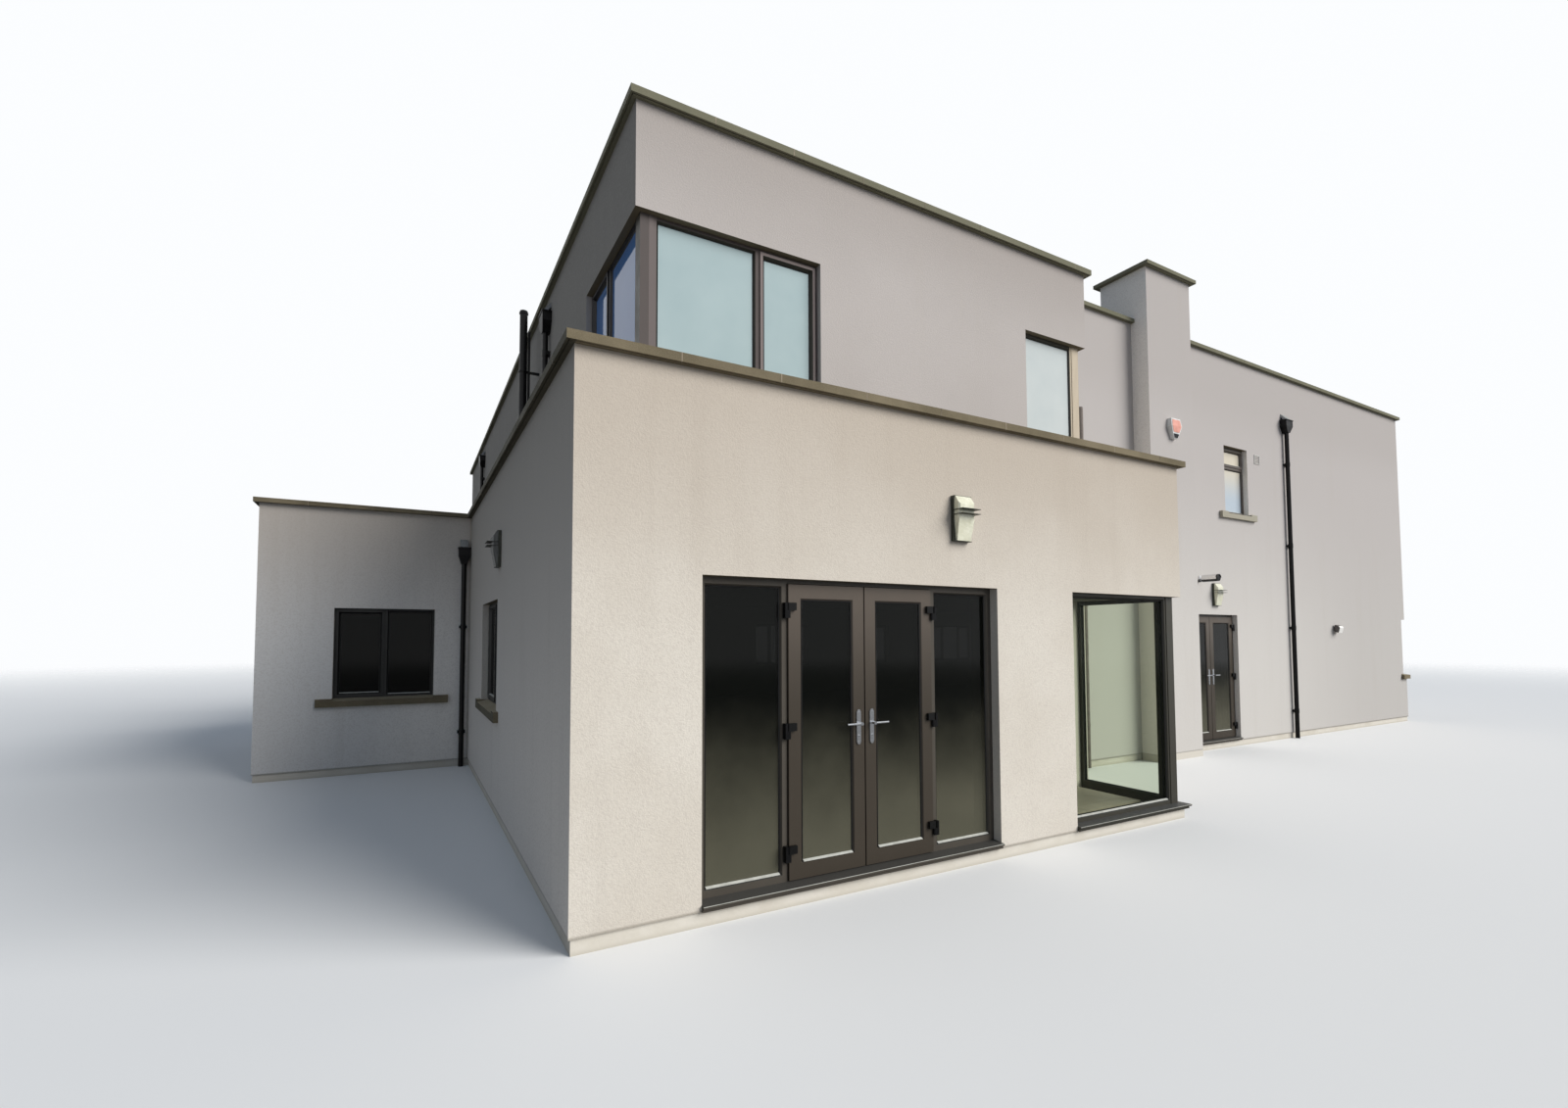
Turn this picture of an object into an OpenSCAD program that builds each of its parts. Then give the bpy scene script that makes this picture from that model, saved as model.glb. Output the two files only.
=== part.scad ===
/* [Whole house] */
// Depth of the house from the front block's face to the back wall
house_d = 14200; // [13600:50:14800]
// Thickness of the outer walls
wall_t = 300; // [260:10:340]
// Height of the plinth that the rendered walls stand on
plinth_h = 100; // [80:5:140]
// How far the plinth stands back from the render
plinth_set = 15; // [10:1:25]
// Thickness of the floor finish on the ground slab
floor_t = 50; // [40:5:80]
// Thickness of the upper floor and roof slabs
slab_t = 250; // [200:10:300]
// Level of the upper floor
upper_floor_z = 3050; // [2950:10:3150]

/* [Front block, one storey] */
// Width of the front block
block_w = 6280; // [6100:10:6600]
// Height of its walls to the underside of the coping
block_h = 3650; // [3550:10:3800]
// Build-up of the low roof above the upper floor slab
low_roof_t = 230; // [120:10:300]

/* [Upper block] */
// How far the upper block stands back from the left wall
upper_set_left = 630; // [560:10:800]
// How far the upper block stands back from the front wall
upper_set_front = 810; // [700:10:1000]
// How far the top of its walls lies below the main house's walls
upper_drop = 705; // [620:5:780]
// Height of its parapet above its roof
upper_parapet = 160; // [140:10:440]

/* [Main house] */
// How far the main front stands back from the front block
main_set = 2160; // [2000:10:2400]
// Length of the main front, right of the front block
main_len = 12490; // [12000:10:13000]
// Height of its walls to the underside of the coping
main_h = 6745; // [6650:5:6900]
// Height of its parapet above its roof
main_parapet = 735; // [600:5:800]

/* [Wing] */
// How far the wing projects to the left
wing_w = 2560; // [2400:10:2900]
// How far the wing's front stands back from the front block
wing_set = 6700; // [6400:10:7000]
// Depth of the wing
wing_d = 4600; // [4200:50:5200]

/* [Coping stones] */
// Thickness of the coping at its edges
coping_t = 60; // [50:5:80]
// Overhang of the coping on each side of its wall
coping_over = 60; // [40:5:80]
// Distance of the drip groove from the edge of a coping or sill
drip_in = 15; // [10:1:20]
// Width of the drip groove
drip_w = 10; // [6:1:14]
// Depth of the drip groove
drip_d = 8; // [5:1:12]

/* [Chimney] */
// Left side of the chimney, from the left wall of the front block
chimney_x = 9033; // [8800:1:9300]
// Width of the chimney
chimney_w = 1157; // [1000:1:1300]
// How far the breast stands out from the main front
chimney_out = 253; // [200:1:320]
// Depth of the stack above the roof
chimney_d = 745; // [650:5:850]
// Height of the stack above the main walls, to the underside of its cap
stack_h = 805; // [700:5:900]
// Thickness of the cap at its middle
cap_t = 70; // [60:5:100]
// Fall of the cap's top from its middle to its edges
cap_fall = 15; // [5:1:25]
// Overhang of the cap
cap_over = 75; // [50:5:100]

/* [Glazed front doors] */
// Left edge of the front door opening
door_x = 845; // [800:5:900]
// Width of the front door opening
door_w = 2730; // [2650:5:2800]
// Height of the door and window heads above the ground
head_z = 2280; // [2200:10:2350]
// Clear width between the two fixed side lights
pair_w = 1352; // [1300:2:1370]
// Width of a mullion between side light and leaf
mullion_w = 54; // [46:2:80]
// Width of the frame's outer bars
bar_w = 60; // [50:1:80]
// Height of the frame that shows over the leaves
leaf_head = 27; // [24:1:50]
// Depth of door and window frames
frame_d = 70; // [60:2:90]
// How far frames stand back from the wall's face
reveal = 80; // [60:5:110]
// Thickness of the sealed glass units
glass_t = 28; // [20:1:32]
// How far the glass reaches into the bars round it
glass_in = 10; // [6:1:14]
// Width of the sloped bead round the glass
bead_w = 12; // [8:1:18]
// How far the metal sills stand out from the wall
nose_out = 35; // [25:1:45]
// Height of a metal sill's folded nose
nose_h = 16; // [12:1:24]
// Rise of a metal sill's top from its nose to the frame
nose_rise = 8; // [5:1:14]

/* [Door leaves] */
// Width of a leaf's stiles and top rail
stile_w = 112; // [90:2:130]
// Height of a leaf's bottom rail
bottom_rail = 120; // [100:5:160]
// Thickness of a leaf
leaf_t = 56; // [50:1:60]
// How far a leaf stands out from its frame
leaf_out = 16; // [8:1:20]
// Height of the threshold above the floor
threshold_h = 2; // [1:1:15]
// Gap between a leaf and its frame
leaf_gap = 6; // [6:0.5:8]
// Gap between the two leaves of a pair
meet_gap = 11; // [10:0.5:14]
// How far the stop behind a leaf covers its edge
stop_w = 16; // [12:1:22]
// Thickness of the stop
stop_t = 22; // [16:1:30]
// Height of a hinge
hinge_h = 110; // [90:5:130]
// Radius of a hinge's knuckles
hinge_r = 11; // [9:0.5:13]
// Radius of a hinge's pin
hinge_pin = 5; // [4:0.5:6]
// Clearance between a hinge's knuckles and the leaf's face
hinge_clear = 2; // [1.5:0.5:3]
// Width of a hinge's arm on the leaf
hinge_arm = 58; // [45:1:65]
// Width of a hinge's cover on the frame
hinge_cover = 20; // [16:1:24]
// Height of the lever handles above the floor
lever_h = 1070; // [1000:10:1150]
// Length of a lever
lever_l = 130; // [110:5:150]
// Radius of a lever
lever_r = 9; // [7:0.5:11]
// Radius of a lever's neck
neck_r = 12; // [11.5:0.5:14]
// How far a lever stands out from its leaf
lever_out = 54; // [45:1:58]
// Length of a lever's returned end
lever_back = 22; // [15:1:26]
// Width of a handle's backplate
plate_w = 38; // [30:1:42]
// Height of a handle's backplate
plate_h = 260; // [220:5:280]
// Thickness of a handle's backplate
plate_t = 8; // [5:1:10]

/* [Side doors] */
// Left edge of the side door opening
side_x = 10340; // [10330:5:10500]
// Width of the side door opening
side_w = 1500; // [1450:10:1560]
// Head of the side doors above the ground
side_head = 2240; // [2180:10:2280]
// Width of the frame that shows beside the side doors
side_jamb = 48; // [42:1:70]

/* [Corner windows] */
// Width of the lower corner window along the front
low_corner_front = 1725; // [1500:5:1900]
// Width of the lower corner window along the side
low_corner_side = 1110; // [900:5:1300]
// Width of the upper left corner window along the front
left_corner_front = 1700; // [1500:5:1900]
// Width of the upper left corner window along the side
left_corner_side = 1535; // [1350:5:1700]
// Width of the upper right corner window, on both faces
right_corner = 1000; // [850:5:1100]
// Width of a corner post
post_w = 110; // [90:5:130]
// How far the corner posts stand back from the wall faces
corner_set = 56; // [40:1:65]
// Height of the low corner window's bar above the floor
low_foot = 50; // [30:5:90]
// How far a corner post stands out from the frames beside it
post_proud = 6; // [4:1:10]
// Sill level of the upper corner windows
corner_sill_z = 4000; // [3900:10:4100]
// Head level of the upper windows
upper_head_z = 5190; // [5100:10:5300]
// Length of the right end's corner window along the end wall
end_corner_side = 1600; // [1400:10:1900]
// Length of its stone sill past each end
end_sill_ear = 100; // [60:5:140]

/* [Plain windows] */
// Width of a window frame's outer bars
win_bar = 38; // [32:1:48]
// Width of a window's mullions and transoms
win_mullion = 70; // [60:2:84]
// Width of an opening sash's bars
sash_w = 46; // [40:1:56]
// How far a sash covers the bars round it
sash_lap = 16; // [10:1:20]
// How far an opening sash stands out from its frame
sash_out = 12; // [8:1:16]
// Left edge of the wing's window, from the wing's left side
wing_win_x = 860; // [700:10:1000]
// Width of the wing's window
wing_win_w = 1233; // [1100:5:1400]
// Sill level of the ground floor windows
sill_z = 1045; // [950:5:1200]
// Width of the window in the front block's left wall
left_win_w = 1450; // [1200:5:1600]
// Front edge of that window, from the front
left_win_y = 3480; // [3300:10:3700]
// Width of the upper window in the main front
far_win_w = 755; // [650:5:900]
// Centre of that window, from the left wall of the front block
far_win_x = 11960; // [11900:10:12100]
// Sill level of the upper windows
upper_sill_z = 4025; // [3950:5:4200]
// Level of the transom in the upper window of the main front
transom_z = 4840; // [4700:10:4900]
// Share of a wide window that its fixed middle light takes
wide_share = 0.4; // [0.3:0.05:0.5]
// Rise of the left wall's window above the other ground floor sills
left_sill_rise = 60; // [0:10:100]
// Width of the ground floor windows in the end wall
end_win_w = 1600; // [1300:10:1800]
// Width of the upper windows in the end and back walls
upper_win_w = 1400; // [1200:10:1600]
// Width of the wide ground floor windows in the back wall
back_win_w = 1900; // [1700:10:2200]
// Middle of the first upper window in the end wall, from the main front
end_win_y = 1900; // [1700:10:2100]
// Middle of the last windows in the end wall, from the back wall's face
end_win_back = 2140; // [2000:10:2400]
// Middle of the first windows in the back wall, from the front block's left wall
back_win_x = 2400; // [2200:10:2600]
// Middle of the last windows in the back wall, from the end wall's face
back_win_end = 1970; // [1800:10:2200]
// Thickness of a stone sill
sill_t = 110; // [90:5:130]
// Length of a sill past each side of its window
sill_ear = 190; // [150:5:220]
// How far a sill stands out from the wall
sill_out = 50; // [40:5:70]
// Fall of a sill's top
sill_fall = 28; // [15:1:40]

/* [Rainwater pipes and flue] */
// Radius of the rainwater pipes
pipe_r = 34; // [28:1:40]
// Gap between a pipe and its wall
pipe_gap = 20; // [15:1:30]
// Place of the pipe on the main front, right of the side doors
main_pipe_x = 1830; // [1750:10:2000]
// Place of the wing's pipe, left of the front block
wing_pipe_x = 94; // [92:1:120]
// Place of the first pipe on the upper block's left wall, from the front
upper_pipe_y = 4180; // [4000:10:4400]
// Distance to the second pipe there
upper_pipe_step = 7170; // [6800:10:7400]
// Width of a hopper head
hopper_w = 240; // [200:5:244]
// Width of the hopper head in the wing's corner
wing_hopper_w = 156; // [130:2:164]
// Height of a hopper head
hopper_h = 240; // [180:5:260]
// Depth of a hopper head
hopper_d = 110; // [105:5:130]
// Thickness of a hopper head's sides
hopper_t = 8; // [6:1:12]
// How far a hopper head's rim lies below its roof
hopper_drop = 80; // [50:5:120]
// Height of the chute above a hopper head
chute_h = 120; // [80:5:140]
// Height of the first clip above a pipe's foot
first_clip = 500; // [300:10:700]
// Distance between a pipe's clips
clip_step = 1530; // [1200:10:1800]
// Height of a pipe clip
clip_h = 40; // [30:5:60]
// Width of a pipe clip past each side of its pipe
clip_ear = 18; // [14:1:24]
// Radius of the flue on the low roof
flue_r = 48; // [40:1:50]
// Distance of the flue from the upper block's wall
flue_x = 200; // [190:5:205]
// Place of the flue, from the front
flue_y = 4880; // [4500:10:5200]
// Height of the flue's top above the upper block's walls
flue_rise = 70; // [0:10:140]
// Radius of the vent pipe beside the flue
vent_r = 16; // [12:1:18]
// Distance of the vent pipe from the flue
vent_step = 70; // [70:1:90]
// Height of the vent pipe above the low roof
vent_h = 2570; // [2400:10:2700]
// Height of the clamp that holds both above the low roof
clamp_h = 2020; // [1800:10:2200]

/* [Wall lamps] */
// Place of the lamp on the front block, from its left wall
front_lamp_x = 3150; // [3000:5:3300]
// Level of that lamp's foot
front_lamp_z = 2650; // [2600:5:2700]
// Place of the lamp on the left wall, from the front
left_lamp_y = 3330; // [3200:5:3450]
// Level of that lamp's foot
left_lamp_z = 2600; // [2560:5:2640]
// Place of the lamp over the side doors, right of their middle
side_lamp_x = 85; // [0:5:240]
// Level of that lamp's foot
side_lamp_z = 2390; // [2360:5:2440]
// Height of a wall lamp
lamp_h = 375; // [340:5:400]
// How far a lamp's fins stand out from the wall
lamp_out = 140; // [120:5:160]
// Width of a lamp's fins
lamp_fin_w = 204; // [200:2:220]
// Width of a lamp's back box
lamp_box_w = 190; // [186:2:198]
// Depth of a lamp's back box
lamp_box_d = 30; // [20:1:36]
// Width of the glass at the lamp's foot
lamp_foot_w = 150; // [130:5:170]
// Depth of the glass at the lamp's foot
lamp_foot_d = 20; // [12:1:30]
// Width of the glass at the fins
lamp_mid_w = 176; // [172:1:180]
// Depth of the glass at the fins
lamp_mid_d = 60; // [45:5:70]
// Width of the glass at the lamp's top
lamp_top_w = 168; // [150:2:172]
// Depth of the glass at the lamp's top
lamp_top_d = 12; // [8:1:20]
// Thickness of a lamp's fins and end plates
fin_t = 4; // [3:1:6]

/* [Fittings on the walls] */
// Width of the alarm box
alarm_w = 275; // [240:5:300]
// Height of the alarm box
alarm_h = 310; // [280:5:340]
// Depth of the alarm box
alarm_d = 75; // [60:5:90]
// Level of its foot
alarm_z = 4940; // [4850:10:5050]
// Place of the wall camera, right of the side doors' left edge
camera_x = 335; // [310:5:350]
// Level of its axis
camera_z = 2820; // [2800:5:2850]
// How far it stands out from the wall
camera_out = 325; // [300:5:345]
// Length of its body
camera_l = 250; // [220:5:265]
// Radius of its body
camera_r = 56; // [48:1:60]
// Thickness of the hood over it
hood_t = 4; // [3:1:6]
// Place of the flood lamp, right of the side doors
flood_x = 3610; // [3500:10:3750]
// Level of its foot
flood_z = 1940; // [1900:10:2000]
// Width of the flood lamp
flood_w = 160; // [140:5:180]
// Height of the flood lamp
flood_h = 160; // [140:5:180]
// Depth of the flood lamp
flood_d = 110; // [90:5:130]

/* [Hidden] */

// Colours seen in the photograph
render_colour = [0.80, 0.77, 0.73];
stone_colour = [0.43, 0.39, 0.32];
frame_colour = [0.36, 0.32, 0.29];
roof_colour = [0.30, 0.30, 0.31];
floor_colour = [0.62, 0.56, 0.48];
plinth_colour = [0.78, 0.75, 0.66];
glass_colour = [0.55, 0.66, 0.70, 0.4];
black = [0.06, 0.06, 0.06];
chrome = [0.80, 0.81, 0.83];

round_fn = 32;
cut = 1;
running_gap = 0.3;
floor_z = plinth_h + floor_t;
main_r = block_w + main_len;
wing_b = wing_set + wing_d;
inner_w = block_w - wall_t;
frame_in = reveal + frame_d;
upper_h = main_h - upper_drop;
upper_roof_z = upper_h - upper_parapet;
main_roof_z = main_h - main_parapet;
low_roof_z = upper_floor_z + low_roof_t;
flue_h = upper_h + flue_rise - low_roof_z;
stack_z = main_h + stack_h;
mid_x = (main_r - wing_w) / 2;
mid_y = (house_d + coping_over - lamp_out) / 2;

// Turns of the four faces: a thing drawn facing the front is turned to face another side
FRONT = 0;
LEFT = -90;
RIGHT = 90;
BACK = 180;

// Light patterns of plain windows
PAIR = 0;
TOP_LIGHT = 1;
WIDE = 2;

// Plain windows: middle of the opening on the wall's face, turn, width, sill, head, pattern
left_win_mid = left_win_y + left_win_w / 2;
left_window = [0, left_win_mid, LEFT, left_win_w, sill_z + left_sill_rise, head_z, PAIR];
wing_window = [wing_win_x + wing_win_w / 2 - wing_w, wing_set, FRONT, wing_win_w, sill_z, head_z, PAIR];
wing_side_window = [-wing_w, wing_set + wing_d / 2, LEFT, wing_win_w, sill_z, head_z, PAIR];
far_window = [far_win_x, main_set, FRONT, far_win_w, upper_sill_z, upper_head_z, TOP_LIGHT];
end_win_step = (house_d - main_set - end_win_y - end_win_back) / 2;
back_win_step = (main_r - back_win_x - back_win_end) / 4;
function end_place(k) = main_set + end_win_y + k * end_win_step;
function back_place(k) = back_win_x + k * back_win_step;
end_low_windows = [for (k = [1, 2]) [main_r, end_place(k), RIGHT, end_win_w, sill_z, head_z, PAIR]];
end_upper_windows = [
    for (k = [0:2]) [main_r, end_place(k), RIGHT, upper_win_w, upper_sill_z, upper_head_z, PAIR]
];
back_low_windows = [
    for (k = [0:4]) let (wide = k % 2 == 0)
        [back_place(k), house_d, BACK, wide ? back_win_w : wing_win_w, sill_z, head_z, wide ? WIDE : PAIR]
];
back_upper_windows = [
    for (k = [0:4]) [back_place(k), house_d, BACK, upper_win_w, upper_sill_z, upper_head_z, PAIR]
];
all_windows = concat([left_window, wing_window, wing_side_window, far_window],
    end_low_windows, end_upper_windows, back_low_windows, back_upper_windows);

// Corner windows: corner, foot, mirrored, lengths along the front and the side, height, splits of both
// runs, and the height of the bar at the foot
post_end = corner_set + post_w;
low_corner = [block_w, 0, plinth_h, true,
    low_corner_front, low_corner_side, head_z - plinth_h, [], [], floor_t + low_foot];
left_corner = [upper_set_left, upper_set_front, corner_sill_z, false,
    left_corner_front, left_corner_side, upper_head_z - corner_sill_z, [0.608], [0.57], win_bar];
right_corner_window = [inner_w, upper_set_front, corner_sill_z, true,
    right_corner, right_corner, upper_head_z - corner_sill_z, [], [], win_bar];
end_corner = [main_r, main_set, sill_z, true,
    post_end, end_corner_side, side_head - sill_z, [], [0.5], win_bar];
corner_windows = [low_corner, left_corner, right_corner_window, end_corner];

// Places of the door frames and leaves
side_light = (door_w - pair_w) / 2 - mullion_w - bar_w;
side_light_x = door_w / 2 - bar_w - side_light / 2;
side_pair_w = side_w - 2 * side_jamb;
front_mid = door_x + door_w / 2;
side_mid = side_x + side_w / 2;
threshold_z = floor_z + threshold_h;
leaf_z = threshold_z + leaf_gap;
leaf_y = reveal - leaf_out;
stop_y = leaf_y + leaf_t + leaf_gap;
hinge_y = leaf_y - hinge_r - hinge_clear;
hinge_levels = [0.09, 0.5, 0.91];
front_leaf_h = head_z - leaf_head - leaf_gap - leaf_z;
side_leaf_h = side_head - leaf_head - leaf_gap - leaf_z;
function leaf_w(pair) = (pair - meet_gap) / 2 - leaf_gap;

// Panes of the two side lights, from the middle of the front doors
side_panes = [for (side = [-1, 1]) let (x = side * side_light_x)
    [x - side_light / 2, x + side_light / 2, floor_z + bar_w, head_z - bar_w]];

// Wall lamps: place on the wall's face, turn, foot; levels of the fins as shares of the height
lamp_places = [
    [front_lamp_x, 0, FRONT, front_lamp_z], [0, left_lamp_y, LEFT, left_lamp_z],
    [side_mid + side_lamp_x, main_set, FRONT, side_lamp_z]
];
fin_levels = [0.572, 0.675];
glass_shoulder = 0.8;

// Outlines of the three runs of coping, grown by g beyond the walls' outer faces
low_outline = function(g) [
    [-g, -g], [block_w + g, -g], [block_w + g, house_d + g], [-g, house_d + g],
    [-g, wing_b + g], [-wing_w - g, wing_b + g], [-wing_w - g, wing_set - g], [-g, wing_set - g]
];
upper_outline = function(g) [
    [upper_set_left - g, upper_set_front - g], [inner_w + g, upper_set_front - g],
    [inner_w + g, house_d + g], [upper_set_left - g, house_d + g]
];
main_outline = function(g) [
    [inner_w - wall_t - g, main_set - g], [main_r + g, main_set - g],
    [main_r + g, house_d + g], [inner_w - wall_t - g, house_d + g]
];

// Puts the middle of the house's outline at the origin
module house_axes() {
    translate([-mid_x, -mid_y, 0]) children();
}

// Places a child, drawn facing the front, on any face
module on_face(x, y, z, turn) {
    translate([x, y, z]) rotate([0, 0, turn]) children();
}

// A box between two corners
module box(low, high) {
    translate(low) cube(high - low);
}

// Extrudes a profile of X and Z along Y, from y0 to y1
module profile_xz(y0, y1) {
    translate([0, y1, 0]) rotate([90, 0, 0]) linear_extrude(y1 - y0) children();
}

// Extrudes a profile of Y and Z along X, from x0 to x1
module profile_yz(x0, x1) {
    translate([x0, 0, 0]) rotate([90, 0, 90]) linear_extrude(x1 - x0) children();
}

// Opening and sill pocket of one plain window
module window_cut(w) {
    on_face(w[0], w[1], w[4], w[2]) {
        box([-w[3] / 2, -cut, 0], [w[3] / 2, wall_t + cut, w[5] - w[4]]);
        box([-w[3] / 2 - sill_ear, -cut, -sill_t], [w[3] / 2 + sill_ear, frame_in, 0]);
    }
}

// Opening and sill pocket of the corner window at the right end
module end_corner_cut() {
    front_l = post_end + end_sill_ear;
    side_l = end_corner_side + end_sill_ear;
    translate([main_r, main_set, sill_z]) mirror([1, 0, 0]) {
        box([-cut, -cut, 0], [post_end, wall_t + cut, side_head - sill_z]);
        box([-cut, wall_t, 0], [wall_t + cut, end_corner_side, side_head - sill_z]);
        box([-cut, -cut, -sill_t], [front_l, frame_in, 0]);
        box([-cut, -cut, -sill_t], [frame_in, side_l, 0]);
    }
}

module base_slab() house_axes() color(plinth_colour) {
    s = plinth_set;
    linear_extrude(plinth_h) polygon([
        [s, s], [block_w - s, s], [block_w - s, main_set + s], [main_r - s, main_set + s],
        [main_r - s, house_d - s], [s, house_d - s], [s, wing_b - s], [-wing_w + s, wing_b - s],
        [-wing_w + s, wing_set + s], [s, wing_set + s]
    ]);
}

// Outline of the rooms inside the walls
module rooms() {
    polygon([
        [wall_t, wall_t], [inner_w, wall_t], [inner_w, main_set + wall_t],
        [main_r - wall_t, main_set + wall_t], [main_r - wall_t, house_d - wall_t],
        [wall_t, house_d - wall_t], [wall_t, wing_b - wall_t], [-wing_w + wall_t, wing_b - wall_t],
        [-wing_w + wall_t, wing_set + wall_t], [wall_t, wing_set + wall_t]
    ]);
}

module ground_floor() house_axes() color(floor_colour) {
    translate([0, 0, plinth_h]) linear_extrude(floor_t) rooms();
}

module upper_floor() house_axes() color(floor_colour) {
    translate([0, 0, upper_floor_z - slab_t]) linear_extrude(slab_t) rooms();
}

module front_wall_left() house_axes() color(render_colour) {
    box([0, 0, plinth_h], [door_x, wall_t, head_z]);
}

module front_wall_middle() house_axes() color(render_colour) {
    box([door_x + door_w, 0, plinth_h], [block_w - low_corner_front, wall_t, head_z]);
}

module front_wall_head() house_axes() color(render_colour) {
    box([0, 0, head_z], [block_w, wall_t, block_h]);
}

module left_wall() house_axes() color(render_colour) {
    difference() {
        union() {
            box([0, wall_t, plinth_h], [wall_t, wing_set + wall_t, block_h]);
            box([0, wing_b - wall_t, plinth_h], [wall_t, house_d - wall_t, block_h]);
        }
        window_cut(left_window);
    }
}

module right_wall() house_axes() color(render_colour) {
    profile_yz(inner_w, block_w) polygon([
        [wall_t, head_z], [low_corner_side, head_z], [low_corner_side, plinth_h],
        [main_set + wall_t, plinth_h], [main_set + wall_t, block_h], [wall_t, block_h]
    ]);
}

module wing_walls() house_axes() color(render_colour) {
    difference() {
        box([-wing_w, wing_set, plinth_h], [0, wing_b, block_h]);
        box([-wing_w + wall_t, wing_set + wall_t, plinth_h - cut], [cut, wing_b - wall_t, block_h + cut]);
        window_cut(wing_window);
        window_cut(wing_side_window);
    }
}

module main_wall_left() house_axes() color(render_colour) {
    profile_xz(main_set, main_set + wall_t) polygon([
        [block_w, plinth_h], [side_x, plinth_h], [side_x, main_h],
        [inner_w, main_h], [inner_w, block_h], [block_w, block_h]
    ]);
}

module main_wall_low() house_axes() color(render_colour) {
    difference() {
        box([side_x + side_w, main_set, plinth_h], [main_r, main_set + wall_t, side_head]);
        end_corner_cut();
    }
}

module main_wall_upper() house_axes() color(render_colour) {
    difference() {
        box([side_x, main_set, side_head], [main_r, main_set + wall_t, main_h]);
        window_cut(far_window);
    }
}

module end_wall() house_axes() color(render_colour) {
    difference() {
        box([main_r - wall_t, main_set + wall_t, plinth_h], [main_r, house_d - wall_t, main_h]);
        for (w = concat(end_low_windows, end_upper_windows)) window_cut(w);
        end_corner_cut();
    }
}

module back_wall() house_axes() color(render_colour) {
    difference() {
        profile_xz(house_d - wall_t, house_d) polygon([
            [0, plinth_h], [main_r, plinth_h], [main_r, main_h], [inner_w - wall_t, main_h],
            [inner_w - wall_t, upper_h], [upper_set_left, upper_h],
            [upper_set_left, block_h], [0, block_h]
        ]);
        for (w = concat(back_low_windows, back_upper_windows)) window_cut(w);
    }
}

module upper_front_wall() house_axes() color(render_colour) {
    y0 = upper_set_front;
    x0 = upper_set_left;
    profile_xz(y0, y0 + wall_t) polygon([
        [x0, upper_floor_z], [inner_w, upper_floor_z], [inner_w, corner_sill_z],
        [inner_w - right_corner, corner_sill_z], [inner_w - right_corner, upper_head_z],
        [inner_w, upper_head_z], [inner_w, upper_h], [x0, upper_h], [x0, upper_head_z],
        [x0 + left_corner_front, upper_head_z], [x0 + left_corner_front, corner_sill_z], [x0, corner_sill_z]
    ]);
}

module upper_left_wall() house_axes() color(render_colour) {
    y0 = upper_set_front + wall_t;
    y1 = upper_set_front + left_corner_side;
    profile_yz(upper_set_left, upper_set_left + wall_t) polygon([
        [y0, upper_floor_z], [house_d - wall_t, upper_floor_z], [house_d - wall_t, upper_h],
        [y0, upper_h], [y0, upper_head_z], [y1, upper_head_z], [y1, corner_sill_z], [y0, corner_sill_z]
    ]);
}

module upper_right_wall() house_axes() color(render_colour) {
    y0 = upper_set_front + wall_t;
    y1 = upper_set_front + right_corner;
    profile_yz(inner_w - wall_t, inner_w) polygon([
        [y0, upper_floor_z], [main_set + wall_t, upper_floor_z], [main_set + wall_t, upper_roof_z - slab_t],
        [house_d - wall_t, upper_roof_z - slab_t], [house_d - wall_t, main_h], [main_set, main_h],
        [main_set, upper_h], [y0, upper_h], [y0, upper_head_z], [y1, upper_head_z],
        [y1, corner_sill_z], [y0, corner_sill_z]
    ]);
}

module low_roof() house_axes() color(roof_colour) {
    translate([0, 0, upper_floor_z]) linear_extrude(low_roof_t) difference() {
        intersection() {
            rooms();
            translate([-wing_w, 0]) square([wing_w + inner_w, house_d]);
        }
        translate([upper_set_left, upper_set_front]) square([inner_w, house_d]);
    }
}

module upper_roof() house_axes() color(roof_colour) {
    box([upper_set_left + wall_t, upper_set_front + wall_t, upper_roof_z - slab_t],
        [inner_w - wall_t, house_d - wall_t, upper_roof_z]);
}

module main_roof() house_axes() color(roof_colour) {
    box([inner_w, main_set + wall_t, main_roof_z - slab_t],
        [main_r - wall_t, house_d - wall_t, main_roof_z]);
}

// A ring between two growths of an outline
module outline_ring(outline, outer, inner) {
    difference() {
        polygon(outline(outer));
        polygon(outline(inner));
    }
}

// Coping over a closed run of wall, with a drip groove under each overhang
module coping_ring(z, outline) {
    over = coping_over;
    inside = -wall_t - coping_over;
    translate([0, 0, z]) difference() {
        linear_extrude(coping_t) outline_ring(outline, over, inside);
        translate([0, 0, -cut]) linear_extrude(drip_d + cut) {
            outline_ring(outline, over - drip_in, over - drip_in - drip_w);
            outline_ring(outline, inside + drip_in + drip_w, inside + drip_in);
        }
    }
}

module low_coping() house_axes() color(stone_colour) {
    top = block_h + coping_t + cut;
    difference() {
        coping_ring(block_h, low_outline);
        box([inner_w, main_set, block_h - cut], [main_r, 2 * house_d, top]);
        box([upper_set_left, upper_set_front, block_h - cut], [inner_w, 2 * house_d, top]);
    }
}

module upper_coping() house_axes() color(stone_colour) {
    x0 = inner_w - wall_t;
    top = upper_h + coping_t + cut;
    difference() {
        coping_ring(upper_h, upper_outline);
        box([x0, main_set, upper_h - cut], [main_r, 2 * house_d, top]);
        box([x0 - coping_over - cut, main_set, upper_h - cut], [main_r, house_d - wall_t - coping_over, top]);
    }
}

module main_coping() house_axes() color(stone_colour) {
    difference() {
        coping_ring(main_h, main_outline);
        box([chimney_x, 0, main_h - cut], [chimney_x + chimney_w, main_set + chimney_d, stack_z]);
    }
}

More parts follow.
